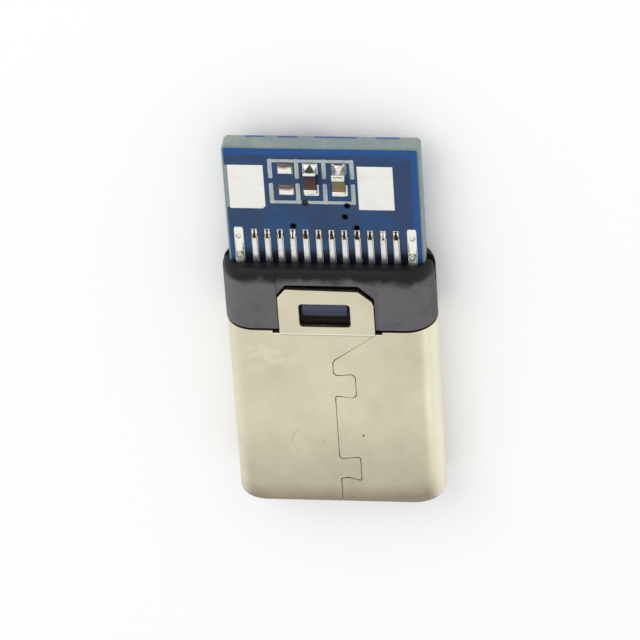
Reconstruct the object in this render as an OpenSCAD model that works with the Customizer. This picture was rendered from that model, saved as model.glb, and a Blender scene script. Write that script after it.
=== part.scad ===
// Reversible 24-contact plug on a small paddle board, with a folded and dovetailed sheet shell.
// Millimetres. X runs across the plug, Y from the mating nose to the board's end, Z out of the broad face.
// The origin is the centre of the mating face, on the plug's mid-plane.

/* [Shell] */
// Outer width of the shell
shell_w = 8.25; // [8.15:0.05:8.35]
// Outer height of the shell
shell_h = 2.4; // [2.36:0.02:2.46]
// Length of the shell from its nose to its rear rim
shell_l = 8.17; // [7.9:0.05:8.5]
// Thickness of the shell's sheet
sheet_t = 0.22; // [0.2:0.01:0.24]
// Rounding of the shell's nose edge
nose_round = 0.06; // [0.03:0.01:0.1]
// Width of the gap in the dovetailed seam
seam_gap = 0.03; // [0.02:0.005:0.05]
// Place of the seam's straight stretches across the shell
seam_x = 0.09; // [0:0.01:0.2]
// How far the dovetail tongues reach past the seam
dovetail_reach = 0.83; // [0.6:0.01:1]
// Length of a dovetail tongue at its root
dovetail_root = 0.96; // [0.8:0.02:1.1]
// Spread of a dovetail tongue from its root to its end, on each side
dovetail_flare = 0.09; // [0.05:0.01:0.12]
// Distance from the rear rim to the middle of the rear dovetail tongue
rear_dovetail = 2.59; // [2.4:0.01:2.8]
// Middle of the front dovetail tongue, from the nose
front_dovetail_y = 1.6; // [1.3:0.02:1.9]

/* [Shell tabs] */
// Width of the tab that holds the housing
tab_w = 3.75; // [3.5:0.05:4]
// Length of the tab behind the shell's rim
tab_l = 1.92; // [1.8:0.02:2]
// Sideways offset of the front tab, as it was folded
tab_shift = -0.06; // [-0.1:0.01:0.1]
// Height that the front tab stands above the shell
tab_lift = 0.03; // [0:0.01:0.04]
// Width of the window in the tab
window_w = 2; // [1.8:0.05:2.2]
// Length of the window in the tab
window_l = 1.05; // [0.9:0.05:1.1]
// Radius of the window's corners
window_r = 0.14; // [0.08:0.01:0.2]
// Place of the window's middle behind the shell's rim
window_y = 0.73; // [0.7:0.01:0.8]
// Width of the relief cut on each side of the tab
relief_w = 0.28; // [0.2:0.02:0.34]
// Depth of the relief cut on each side of the tab
relief_d = 0.14; // [0.1:0.01:0.18]

/* [Housing] */
// Outer width of the rear housing
housing_w = 8.31; // [8.25:0.02:8.37]
// Length of the rear housing behind the shell
housing_l = 2.78; // [2.5:0.02:3]
// Rounding of the housing's rear edge, across
rear_round = 0.22; // [0.15:0.01:0.3]
// Rounding of the housing's rear edge, lengthways
rear_round_y = 0.45; // [0.3:0.01:0.5]
// Length of the housing's spigot inside the shell
spigot_l = 0.6; // [0.5:0.05:0.7]
// Depth of the broad shallow step around the tab
step_d = 0.05; // [0.03:0.01:0.06]
// Width of the broad shallow step around the tab
step_w = 3.94; // [3.9:0.02:4.1]
// Height of the slit through each side of the housing
side_slit = 0.34; // [0.3:0.02:0.4]
// Clearance between moulded parts and the parts around them
fit_gap = 0.03; // [0.02:0.005:0.04]

/* [Insulator] */
// Length of the contact blocks between the insulator and the housing
block_l = 1.61; // [1.5:0.01:1.7]
// Set-back of the insulator behind the shell's nose
insulator_set = 0.12; // [0.06:0.01:0.2]
// Thickness of the insulator's sides beside the cavity that takes the socket's tongue
cavity_side = 0.455; // [0.44:0.005:0.48]
// Height of the cavity that takes the socket's tongue
cavity_h = 0.92; // [0.86:0.01:0.98]
// Thickness of the insulator's floor behind the cavity
cavity_floor = 0.33; // [0.28:0.01:0.4]
// Lead-in bevel at the cavity's mouth
mouth_bevel = 0.16; // [0.1:0.01:0.2]
// Thickness of the insulating film under the shell
film_t = 0.03; // [0.02:0.005:0.03]

/* [Contacts] */
// Contacts in each row
contact_count = 12; // [12:1:12]
// Distance between neighbouring contacts
pitch = 0.5; // [0.48:0.01:0.51]
// Width of a contact
contact_w = 0.22; // [0.2:0.01:0.24]
// Thickness of a contact
contact_t = 0.12; // [0.1:0.01:0.13]
// Distance of a contact's crown from the nose
crown_y = 1.95; // [1.8:0.05:2.2]
// Height of a contact's crown from the mid-plane
crown_z = 0.3; // [0.26:0.01:0.34]
// Length of the contact's tail seen on the board
tail_l = 1.1; // [1:0.05:1.2]

/* [Latch] */
// Thickness of the latch plate
latch_t = 0.2; // [0.16:0.01:0.22]
// Width of a latch arm
latch_arm_w = 0.3; // [0.26:0.01:0.32]
// Room in which a latch arm flexes towards the shell
latch_side = 0.125; // [0.11:0.005:0.15]
// Reach of a latch hook into the cavity
hook_reach = 0.28; // [0.2:0.01:0.3]
// Distance of a latch hook from the nose
hook_y = 2.3; // [2.1:0.05:2.5]
// Width of the leg that is soldered to the board
leg_w = 0.3; // [0.26:0.01:0.34]
// Gap between the outermost tail and the leg beside it
leg_gap = 0.35; // [0.32:0.01:0.38]
// Length of the leg seen on the board
leg_l = 0.48; // [0.4:0.02:0.6]

/* [Ground springs] */
// Thickness of a ground spring
spring_t = 0.08; // [0.06:0.01:0.08]
// Distance from a ground spring's edge to the insulator's side
spring_side = 0.875; // [0.85:0.005:0.95]
// Fingers on a ground spring
finger_count = 4; // [3:1:5]
// Width of a spring finger
finger_w = 0.8; // [0.6:0.05:0.85]

/* [Board] */
// Width of the board
board_w = 7.6; // [7.5:0.02:7.64]
// Length of the board behind the housing
board_out = 5.15; // [4.95:0.05:5.6]
// Length of the board inside the housing
board_in = 1.9; // [1.7:0.05:1.95]
// Thickness of the board's laminate
laminate_t = 0.8; // [0.76:0.01:0.82]
// Thickness of the copper and solder mask on each face
mask_t = 0.065; // [0.05:0.005:0.07]
// Bare border of laminate around the solder mask
mask_margin = 0.08; // [0.05:0.01:0.1]
// Cut across the board's end corners
corner_cut = 0.12; // [0.05:0.01:0.2]
// Height of the tinned lands above the solder mask
land_proud = 0.008; // [0.004:0.001:0.012]
// Radius of the vias
via_r = 0.1; // [0.08:0.01:0.12]

/* [Parts on the board] */
// Length of a chip part
chip_l = 0.94; // [0.9:0.01:0.98]
// Width of a chip part
chip_w = 0.5; // [0.46:0.01:0.56]
// Height of the resistor
resistor_h = 0.34; // [0.3:0.01:0.38]
// Height of the capacitor
capacitor_h = 0.46; // [0.42:0.01:0.52]
// Length of a chip part's end caps
cap_l = 0.2; // [0.16:0.01:0.24]
// Distance from the housing to the two wire lands
wire_land_out = 2.38; // [2.3:0.01:2.5]
// Distance from the housing to the middle of the chip parts
chip_y = 3.74; // [3.7:0.01:3.8]
// Width of a chip part's land
chip_land_w = 0.58; // [0.54:0.01:0.6]
// Length of a chip part's land
chip_land_l = 0.49; // [0.46:0.01:0.5]
// Distance between the middles of the two lands of a chip part
chip_land_gap = 0.96; // [0.92:0.01:1]

/* [Hidden] */
$fn = 64;

// Small overshoot that makes cuts run clear of the faces they pass
over = 0.2;
// Steps in a rounded corner of a path
arc_steps = 6;

// Room between a contact block's side and the leg beside it
leg_clear = 0.11;

// Levels and stations along the plug
housing_y = shell_l + housing_l;
rear_dovetail_y = shell_l - rear_dovetail;
board_top = laminate_t / 2 + mask_t;
tail_z = board_top + contact_t / 2;
inner_w = shell_w - 2 * sheet_t - 2 * fit_gap;
inner_h = shell_h - 2 * sheet_t - 2 * fit_gap;
spigot_y = shell_l - spigot_l;
block_y = spigot_y - fit_gap - block_l;
insulator_end = block_y - fit_gap;
cavity_w = inner_w - 2 * cavity_side;
cavity_end = insulator_end - cavity_floor;
board_y0 = housing_y - board_in;
board_end = housing_y + board_out;
block_end = board_y0 - fit_gap;
tail_edge = ((contact_count - 1) * pitch + contact_w) / 2;
leg_x = tail_edge + leg_gap + leg_w / 2;
block_rear_w = 2 * (tail_edge + leg_gap - leg_clear);
latch_span = inner_w - 2 * latch_side;
spring_w = inner_w - 2 * spring_side;
block_rear_h = inner_h - 0.34;
block_gap = latch_t / 2 + 0.01;
contact_clear = 0.005;
tab_end = shell_l + tab_l;
pocket_floor = shell_h / 2 - sheet_t - 0.05;

// Vector helpers
function unit(v) = v / norm(v);
function left_of(v) = [-v[1], v[0]];
function turn(v, a) = [v[0] * cos(a) - v[1] * sin(a), v[0] * sin(a) + v[1] * cos(a)];
function flat(p) = [p[0], p[1]];

// Points of the arc that rounds corner b of the path a, b, c with radius r
function corner_arc(a, b, c, r) =
    let(back = unit(a - b), ahead = unit(c - b),
        half = acos(max(-1, min(1, back * ahead))) / 2,
        centre = b + unit(back + ahead) * r / sin(half),
        start = b + back * r / tan(half) - centre,
        way = sign(cross(b - a, c - b)))
    [for (i = [0:arc_steps]) centre + turn(start, way * (180 - 2 * half) * i / arc_steps)];

// Path through the points [x, y, r], with corner r rounded at each inner point
function rounded_path(p) = concat(
    [flat(p[0])],
    [for (i = [1:len(p) - 2]) each corner_arc(flat(p[i - 1]), flat(p[i]), flat(p[i + 1]), p[i][2])],
    [flat(p[len(p) - 1])]);

// Outward step at point i that keeps a strip's width around a bend
function mitre(p, i) =
    i == 0 ? left_of(unit(p[1] - p[0])) :
    i == len(p) - 1 ? left_of(unit(p[i] - p[i - 1])) :
    let(before = left_of(unit(p[i] - p[i - 1])), after = left_of(unit(p[i + 1] - p[i])), m = unit(before + after))
    m / (m * before);

// Outline of a strip of width w along the path p
function strip(p, w) = concat(
    [for (i = [0:len(p) - 1]) p[i] + mitre(p, i) * w / 2],
    [for (i = [len(p) - 1:-1:0]) p[i] - mitre(p, i) * w / 2]);

// Places of the contacts across the plug
function contact_x(i) = (i - (contact_count - 1) / 2) * pitch;

// A 2D shape drawn in Y and Z, made w wide around x
module across(w, x = 0) translate([x - w / 2, 0, 0]) rotate([90, 0, 90]) linear_extrude(w) children();

// A 2D shape drawn in X and Z, carried from y0 to y1
module along(y0, y1) translate([0, y1, 0]) rotate([90, 0, 0]) linear_extrude(y1 - y0) children();

// A 2D shape drawn in X and Y, raised from z0 to z1
module raised(z0, z1) translate([0, 0, z0]) linear_extrude(z1 - z0) children();

// A block between two corners
module block(low, high) translate(low) cube(high - low);

// Children as they are and turned half a turn about the plug's axis
module both_faces() {
    children();
    rotate([0, 180, 0]) children();
}

// Flat oval section with half-round ends
module oval(w, h) {
    square([w - h, h], center = true);
    for (side = [-1, 1]) translate([side * (w - h) / 2, 0]) circle(d = h);
}

// Half section of an oval body of radius r whose end edges are rounded by quarter ellipses
function half_section(r, y0, y1, nose, rear) = concat(
    [[0, y0]],
    [for (i = [0:arc_steps]) let(t = 90 * i / arc_steps)
        [r - nose[0] * (1 - sin(t)), y0 + nose[1] * (1 - cos(t))]],
    [for (i = [0:arc_steps]) let(t = 90 * i / arc_steps)
        [r - rear[0] * (1 - cos(t)), y1 - rear[1] * (1 - sin(t))]],
    [[0, y1]]);

// Oval body with rounded end edges: a middle slab and two turned ends
module oval_body(w, h, y0, y1, nose, rear) {
    half = half_section(h / 2, y0, y1, nose, rear);
    across(w - h) for (side = [-1, 1]) polygon([for (p = half) [p[1], side * p[0]]]);
    for (side = [-1, 1]) translate([side * (w - h) / 2, 0, 0]) rotate([-90, 0, 0]) rotate_extrude() polygon(half);
}

// Rectangle with rounded corners around a middle
module rounded_window(middle, size, r) translate(middle) {
    square([size[0] - 2 * r, size[1]], center = true);
    square([size[0], size[1] - 2 * r], center = true);
    for (i = [-1, 1], j = [-1, 1]) translate([i * (size[0] / 2 - r), j * (size[1] / 2 - r)]) circle(r);
}

// Length of the slanting stretch of the seam behind the rear tongue
seam_bend = 1.28;

// Seam of the folded sheet, from the tab's relief cut down to the nose
function seam_points(x0, y0) = let(
    reach = seam_x + dovetail_reach, half = dovetail_root / 2, wide = half + dovetail_flare)
    [[x0, y0, 0],
     [seam_x - 0.02, y0 - seam_bend, 0.3],
     [seam_x - 0.02, rear_dovetail_y + half, 0.17],
     [reach, rear_dovetail_y + wide, 0.18],
     [reach, rear_dovetail_y - wide, 0.18],
     [seam_x, rear_dovetail_y - half, 0.08],
     [seam_x, front_dovetail_y + half, 0.14],
     [reach, front_dovetail_y + wide, 0.1],
     [reach, front_dovetail_y - wide, 0.08],
     [seam_x + 0.3, front_dovetail_y - half + 0.06, 0.15],
     [seam_x + 0.02, front_dovetail_y - half, 0.05],
     [seam_x + 0.02, -over, 0]];

// Outline of the tab, with its cut corners, around shift
module tab_outline(shift, left_cut, right_cut) translate([shift, 0]) polygon([
    [-tab_w / 2, shell_l - relief_d], [-tab_w / 2, tab_end - left_cut[1]], [-tab_w / 2 + left_cut[0], tab_end],
    [tab_w / 2 - right_cut[0], tab_end - 0.06], [tab_w / 2 - 0.07, tab_end - right_cut[1]],
    [tab_w / 2, tab_end - right_cut[1] - 0.18], [tab_w / 2, shell_l - relief_d]]);

// Cuts that free the tab's root from the rim
module tab_reliefs(shift) for (side = [-1, 1])
    translate([shift + side * (tab_w + relief_w) / 2, shell_l - relief_d / 2 + over / 2])
        square([relief_w, relief_d + over], center = true);

// Front tab and back tab share this form; the front one was folded a little skew
module tab(shift, lift, left_cut, right_cut) raised(shell_h / 2 - sheet_t + lift, shell_h / 2 + lift) difference() {
    tab_outline(shift, left_cut, right_cut);
    rounded_window([2 * shift, shell_l + window_y], [window_w, window_l], window_r);
}

front_left_cut = [0.32, 0.38];
front_right_cut = [0.58, 0.5];
back_cut = [0.45, 0.42];

module shell() color([0.80, 0.78, 0.70]) {
    difference() {
        union() {
            difference() {
                oval_body(shell_w, shell_h, 0, shell_l, [nose_round, nose_round], [0.02, 0.02]);
                along(-over, shell_l + over) oval(shell_w - 2 * sheet_t, shell_h - 2 * sheet_t);
            }
            tab(tab_shift, tab_lift, front_left_cut, front_right_cut);
            rotate([0, 180, 0]) tab(0, 0, back_cut, back_cut);
        }
        raised(0, shell_h) tab_reliefs(tab_shift);
        raised(-shell_h, 0) tab_reliefs(0);
        raised(shell_h / 2 - sheet_t - over, shell_h / 2 + over)
            polygon(strip(rounded_path(seam_points(tab_shift + tab_w / 2 + 0.02, shell_l - relief_d)), seam_gap));
    }
}

// Lug that snaps into the tab's window: a ramp up from the shell side and a square stop behind
lug_w = window_w - 0.26;
lug_top = shell_h / 2 - 0.05;
lug_root = pocket_floor - 0.05;
module lug(shift) across(lug_w, shift) polygon([
    [shell_l + 0.42, lug_root], [shell_l + 0.42, pocket_floor + 0.02], [shell_l + 0.94, lug_top],
    [shell_l + window_y + window_l / 2 - fit_gap, lug_top],
    [shell_l + window_y + window_l / 2 - fit_gap, lug_root]]);

// Pocket that the tab lies in, a little larger than the tab all round
module tab_pocket(shift, left_cut, right_cut) raised(pocket_floor, shell_h) translate([shift, 0]) polygon([
    [-tab_w / 2 - fit_gap, shell_l - over], [-tab_w / 2 - fit_gap, tab_end - left_cut[1] + 0.08],
    [-tab_w / 2 + left_cut[0], tab_end + 0.16], [tab_w / 2 - right_cut[0], tab_end + 0.16],
    [tab_w / 2 + fit_gap, tab_end - right_cut[1] + 0.08], [tab_w / 2 + fit_gap, shell_l - over]]);

module rear_housing() color([0.16, 0.16, 0.17]) {
    difference() {
        union() {
            oval_body(housing_w, shell_h, shell_l, housing_y, [0.02, 0.02], [rear_round, rear_round_y]);
            along(spigot_y, shell_l + over) oval(inner_w, inner_h);
        }
        // Shallow steps and tab pockets on both broad faces
        both_faces() block([-step_w / 2, shell_l - over, shell_h / 2 - step_d], [step_w / 2, housing_y + over, shell_h]);
        tab_pocket(tab_shift, front_left_cut, front_right_cut);
        rotate([0, 180, 0]) tab_pocket(0, back_cut, back_cut);
        // Room for the ends of the contact blocks and for the latch plate
        block([-block_rear_w / 2 - fit_gap, spigot_y - over, -block_rear_h / 2 - fit_gap],
              [block_rear_w / 2 + fit_gap, board_y0, block_rear_h / 2 + fit_gap]);
        block([-leg_x - leg_w / 2 - fit_gap, spigot_y - over, -latch_t / 2 - fit_gap],
              [leg_x + leg_w / 2 + fit_gap, shell_l + 0.2, latch_t / 2 + fit_gap]);
        // Legs of the latch plate rise here beside the blocks
        for (side = [-1, 1]) translate([side * leg_x, 0, 0])
            block([-leg_w / 2 - fit_gap, shell_l - 0.1, -latch_t / 2 - fit_gap],
                  [leg_w / 2 + fit_gap, housing_y + over, board_top + latch_t + fit_gap]);
        // Slot for the board, and for the contacts' tails on both of its faces
        block([-board_w / 2 - fit_gap, board_y0 - fit_gap, -board_top - fit_gap],
              [board_w / 2 + fit_gap, housing_y + over, board_top + fit_gap]);
        block([-block_rear_w / 2 - fit_gap, board_y0 - over, -board_top - contact_t - fit_gap],
              [block_rear_w / 2 + fit_gap, housing_y + over, board_top + contact_t + fit_gap]);
        // Slits through both sides
        block([-housing_w, housing_y - 1.05, -side_slit / 2], [housing_w, housing_y + over, side_slit / 2]);
    }
    lug(2 * tab_shift);
    rotate([0, 180, 0]) lug(0);
}

// Windows and seat for one ground spring; its band lies behind the mouth and its fingers reach forward
spring_back = 0.58;
spring_band = 0.28;
spring_y0 = insulator_set + spring_back;
spring_y1 = spring_y0 + spring_band;
spring_z = inner_h / 2 - 0.045;
function finger_x(i) = (i - (finger_count - 1) / 2) * spring_w / finger_count;
module spring_seat() {
    block([-spring_w / 2 - fit_gap, insulator_set + 0.2, spring_z - spring_t / 2 - 0.01],
          [spring_w / 2 + fit_gap, spring_y1 + fit_gap, inner_h]);
    for (i = [0:finger_count - 1]) translate([finger_x(i), 0, 0])
        block([-finger_w / 2 - 0.06, insulator_set + 0.1, cavity_h / 2 - over],
              [finger_w / 2 + 0.06, spring_y0, inner_h]);
}

// Open slots in which the contacts flex
slot_ahead = 0.95;
slot_side = 0.04;
slot_y0 = crown_y - slot_ahead;
module contact_slots() for (i = [0:contact_count - 1]) translate([contact_x(i), 0, 0])
    block([-contact_w / 2 - slot_side, slot_y0, crown_z - over],
          [contact_w / 2 + slot_side, insulator_end + over, inner_h]);

module front_insulator() color([0.12, 0.12, 0.13]) difference() {
    oval_body(inner_w, inner_h, insulator_set, insulator_end, [0.05, 0.05], [0.02, 0.02]);
    block([-cavity_w / 2, 0, -cavity_h / 2], [cavity_w / 2, cavity_end, cavity_h / 2]);
    // Lead-in bevels at the mouth
    across(cavity_w) polygon([
        [insulator_set - 0.01, -cavity_h / 2 - mouth_bevel], [insulator_set + mouth_bevel, -cavity_h / 2],
        [insulator_set + mouth_bevel, cavity_h / 2], [insulator_set - 0.01, cavity_h / 2 + mouth_bevel]]);
    raised(-cavity_h / 2, cavity_h / 2) polygon([
        [-cavity_w / 2 - mouth_bevel, insulator_set - 0.01], [cavity_w / 2 + mouth_bevel, insulator_set - 0.01],
        [cavity_w / 2, insulator_set + mouth_bevel], [-cavity_w / 2, insulator_set + mouth_bevel]]);
    both_faces() spring_seat();
    both_faces() contact_slots();
    // Channels in which the latch arms flex
    for (side = [-1, 1]) scale([side, 1, 1])
        block([latch_span / 2 - latch_arm_w - hook_reach - 0.02, hook_y - 0.75, -latch_t / 2 - fit_gap],
              [inner_w, insulator_end + over, latch_t / 2 + fit_gap]);
}

// Upper half of the carrier that the contacts are moulded into; the lower half is the same, turned over
peg_x = 1.5;
peg_r = 0.28;
peg_h = 0.25;
peg_back = 1;
peg_y = block_y + peg_back;
module contact_block() difference() {
    union() {
        intersection() {
            along(block_y, spigot_y - fit_gap) oval(inner_w, inner_h);
            block([-inner_w, block_y - over, block_gap], [inner_w, spigot_y, inner_h]);
        }
        block([-block_rear_w / 2, spigot_y - 2 * fit_gap, block_gap], [block_rear_w / 2, block_end, block_rear_h / 2]);
        translate([peg_x, peg_y, -block_gap - peg_h]) cylinder(r = peg_r, h = peg_h + 2 * block_gap + fit_gap);
    }
    for (i = [0:contact_count - 1]) translate([contact_x(i), 0, 0])
        block([-contact_w / 2 - contact_clear, block_y - over, board_top - contact_clear],
              [contact_w / 2 + contact_clear, block_end + over, board_top + contact_t + contact_clear]);
    translate([-peg_x, peg_y, 0]) cylinder(r = peg_r + 0.02, h = block_gap + peg_h + fit_gap);
}
module upper_contact_block() color([0.17, 0.17, 0.18]) contact_block();
module lower_contact_block() color([0.17, 0.17, 0.18]) rotate([0, 180, 0]) contact_block();

// Reach and rise of a contact's tip and of the bend behind it, from the crown
tip = [0.72, 0.27];
tip_bend = [0.5, 0.2];
// Length of the level stretch of a contact in front of its block
level_l = 1;

// Path of a contact from its tip, over the crown and through the block, to the end of its tail
function contact_path() = rounded_path([
    [crown_y - tip[0], crown_z + contact_t / 2 + tip[1], 0],
    [crown_y - tip_bend[0], crown_z + contact_t / 2 + tip_bend[1], 0.1],
    [crown_y, crown_z + contact_t / 2 - 0.03, 0.35],
    [insulator_end - level_l, tail_z, 0.8],
    [housing_y + tail_l, tail_z, 0]]);
module contact(i) color([0.86, 0.80, 0.62]) across(contact_w, contact_x(i)) polygon(strip(contact_path(), contact_t));
module upper_contact(i) contact(i);
module lower_contact(i) rotate([0, 180, 0]) contact(i);

// Blanked plate between the contact blocks: a web, two hooked arms forward and two raised legs behind
leg_end = housing_y + leg_l;
leg_z = board_top + latch_t / 2;
leg_root = 0.45;
web_w = block_rear_w - 0.2;
module latch_plate() color([0.78, 0.77, 0.72]) {
    difference() {
        raised(-latch_t / 2, latch_t / 2) {
            translate([-web_w / 2, block_y + 0.05]) square([web_w, shell_l - block_y + 0.1]);
            translate([-latch_span / 2, block_y + 0.3]) square([latch_span, 0.8]);
            for (side = [-1, 1]) scale([side, 1]) {
                polygon([
                    [latch_span / 2, block_y + 1], [latch_span / 2 - latch_arm_w, block_y + 1],
                    [latch_span / 2 - latch_arm_w, hook_y + 0.55],
                    [latch_span / 2 - latch_arm_w - hook_reach, hook_y + 0.14],
                    [latch_span / 2 - latch_arm_w - hook_reach, hook_y - 0.1],
                    [latch_span / 2 - latch_arm_w + 0.02, hook_y - 0.45], [latch_span / 2, hook_y - 0.45]]);
                translate([web_w / 2 - leg_w, shell_l - leg_root]) square([leg_x + 1.5 * leg_w - web_w / 2, leg_root]);
            }
        }
        for (side = [-1, 1]) translate([side * peg_x, peg_y, -latch_t]) cylinder(r = peg_r + 0.03, h = 2 * latch_t);
    }
    for (side = [-1, 1]) translate([side * leg_x, 0, 0]) {
        across(leg_w) polygon(strip(rounded_path([
            [shell_l - 0.2, 0, 0], [shell_l + 0.3, 0, 0.14], [board_y0 - 0.22, leg_z, 0.14],
            [leg_end - leg_w / 2, leg_z, 0]]), latch_t));
        translate([0, leg_end - leg_w / 2, leg_z - latch_t / 2]) cylinder(d = leg_w, h = latch_t);
    }
}

// Thin strip under the shell with fingers that reach into the mouth of the cavity
finger_bend = 0.46;
finger_low = 0.3;
finger_tip = 0.16;
finger_dip = 0.05;
function finger_path() = rounded_path([
    [spring_y0 + 0.1, spring_z, 0], [insulator_set + finger_bend, spring_z, 0.08],
    [insulator_set + finger_low, cavity_h / 2 - finger_dip, 0.08],
    [insulator_set + finger_tip, cavity_h / 2 + 0.08, 0]]);
module ground_spring() color([0.80, 0.79, 0.75]) {
    block([-spring_w / 2, spring_y0, spring_z - spring_t / 2], [spring_w / 2, spring_y1, spring_z + spring_t / 2]);
    for (i = [0:finger_count - 1]) across(finger_w, finger_x(i)) polygon(strip(finger_path(), spring_t));
}
module upper_ground_spring() ground_spring();
module lower_ground_spring() rotate([0, 180, 0]) ground_spring();

// Film that keeps the flexing contacts off the shell
film_w = inner_w - inner_h - 0.1;
module film() color([0.72, 0.5, 0.15, 0.8])
    block([-film_w / 2, slot_y0 - 0.04, inner_h / 2], [film_w / 2, insulator_end, inner_h / 2 + film_t]);
module upper_film() film();
module lower_film() rotate([0, 180, 0]) film();

// Lands of the board, as outlines that the mask leaves open
power_land = [1.38, 1.97];
power_land_y = housing_y + wire_land_out;
left_land_x = -3.61;
right_land_x = 1.385;
chip_x = [-1.38, -0.41, 0.7];
land_border = 0.03;
tail_land_w = contact_w + 2 * land_border;
tail_land_l = tail_l + 0.34;
leg_land_w = leg_w + 2 * land_border;
leg_land_l = leg_l + 1.04;
land_in = 0.2;
back_land_x = [-3.2, -1.95, -0.64, 1.72, 3.2];
back_land = [0.7, 1.5];

module tail_lands() for (i = [0:contact_count - 1])
    translate([contact_x(i) - tail_land_w / 2, housing_y - land_in]) square([tail_land_w, tail_land_l + land_in]);
module power_lands() {
    translate([left_land_x, power_land_y]) difference() {
        square(power_land);
        translate([power_land[0], 0]) rotate(45) square(0.16, center = true);
    }
    translate([right_land_x, power_land_y]) square(power_land);
}
module chip_lands() for (x = chip_x, side = [-1, 1])
    translate([x, housing_y + chip_y + side * chip_land_gap / 2]) square([chip_land_w, chip_land_l], center = true);
module leg_lands() for (side = [-1, 1])
    translate([side * leg_x - leg_land_w / 2, housing_y - land_in]) square([leg_land_w, leg_land_l + land_in]);
module front_lands() {
    tail_lands();
    power_lands();
    chip_lands();
    leg_lands();
}
module back_lands() {
    tail_lands();
    for (x = back_land_x) translate([x - back_land[0] / 2, board_end - mask_margin - back_land[1]]) square(back_land);
}

// Board outline inset by m all round, with its two end corners cut
module board_outline(m) polygon([
    [-board_w / 2 + m, board_y0 + m], [-board_w / 2 + m, board_end - corner_cut],
    [-board_w / 2 + corner_cut, board_end - m], [board_w / 2 - corner_cut, board_end - m],
    [board_w / 2 - m, board_end - corner_cut], [board_w / 2 - m, board_y0 + m]]);

// Plated holes between the two faces
vias = [[-0.69, 2.67], [0.93, 2.56], [0.82, 2.06], [-1.21, 1.6], [1.24, 1.56]];

module board() color([0.2, 0.33, 0.58]) difference() {
    union() {
        raised(-laminate_t / 2, laminate_t / 2) board_outline(0);
        raised(laminate_t / 2, board_top) difference() {
            board_outline(mask_margin);
            front_lands();
            translate([-board_w, power_land_y]) square([board_w + left_land_x + 0.1, power_land[1]]);
        }
        rotate([0, 180, 0]) raised(laminate_t / 2, board_top) difference() {
            board_outline(mask_margin);
            back_lands();
        }
    }
    for (v = vias) translate([v[0], housing_y + v[1], -laminate_t]) cylinder(r = via_r, h = 2 * laminate_t, $fn = 24);
}

// Tail lands stay level with the mask so that the tails lie flat; open lands stand a little proud
module board_lands() color([0.86, 0.85, 0.80]) {
    raised(laminate_t / 2, board_top + land_proud) {
        power_lands();
        chip_lands();
    }
    raised(laminate_t / 2, board_top) {
        tail_lands();
        leg_lands();
    }
    rotate([0, 180, 0]) {
        raised(laminate_t / 2, board_top) tail_lands();
        raised(laminate_t / 2, board_top + land_proud) for (x = back_land_x)
            translate([x - back_land[0] / 2, board_end - mask_margin - back_land[1]]) square(back_land);
    }
}

// Hollow-faced fillet from height h at y = 0 down to nothing at y = l
function fillet_section(l, h) = concat(
    [[0, 0], [l, 0]],
    [for (i = [1:arc_steps]) let(t = i / arc_steps) [l * (1 - t), h * t * t]]);

// Fillets at both ends of a chip part of height h
land_top = board_top + land_proud;
module chip_solder(x, h) for (side = [-1, 1]) translate([0, housing_y + chip_y, 0]) scale([1, side, 1])
    translate([0, chip_l / 2, land_top]) across(chip_w - 0.06, x)
        polygon(fillet_section((chip_land_gap + chip_land_l - chip_l) / 2, 0.8 * h));

// Low round-topped mound on a bare land
mound_h = 0.07;
module mound(x, y) translate([x, y, land_top]) intersection() {
    translate([-chip_land_w / 2 + 0.03, -chip_land_l / 2 + 0.03, 0])
        cube([chip_land_w - 0.06, chip_land_l - 0.06, mound_h]);
    rotate([0, 90, 0]) translate([0.46, 0, -chip_land_w]) cylinder(r = 0.46 + mound_h, h = 2 * chip_land_w);
}

module toe_solder() for (i = [0:contact_count - 1]) translate([0, housing_y + tail_l, board_top])
    across(contact_w, contact_x(i)) polygon(fillet_section(tail_land_l - tail_l, 0.8 * contact_t));

module solder_joints() color([0.85, 0.84, 0.80]) {
    chip_solder(chip_x[1], resistor_h);
    chip_solder(chip_x[2], capacitor_h);
    for (side = [-1, 1]) mound(chip_x[0], housing_y + chip_y + side * chip_land_gap / 2);
    both_faces() toe_solder();
    for (side = [-1, 1]) translate([0, leg_end, board_top])
        across(leg_w, side * leg_x) polygon(fillet_section(leg_land_l - leg_l, 0.6 * latch_t));
}

// Chip part: a ceramic body between two wrapped end caps
module chip(x, h, wrap) translate([x, housing_y + chip_y, land_top]) {
    translate([-chip_w / 2 + wrap, -chip_l / 2 + wrap, wrap])
        cube([chip_w - 2 * wrap, chip_l - 2 * wrap, h - 2 * wrap]);
    for (side = [-1, 1]) translate([-chip_w / 2, side * (chip_l - cap_l) / 2 - cap_l / 2, 0]) cube([chip_w, cap_l, h]);
}
module resistor() color([0.13, 0.10, 0.09]) chip(chip_x[1], resistor_h, 0.015);
module capacitor() color([0.60, 0.46, 0.33]) chip(chip_x[2], capacitor_h, 0.02);

shell();
rear_housing();
front_insulator();
upper_contact_block();
lower_contact_block();
latch_plate();
upper_ground_spring();
lower_ground_spring();
upper_film();
lower_film();
board();
board_lands();
solder_joints();
resistor();
capacitor();
for (i = [1:12]) upper_contact(i - 1);
for (i = [1:12]) lower_contact(i - 1);
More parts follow.
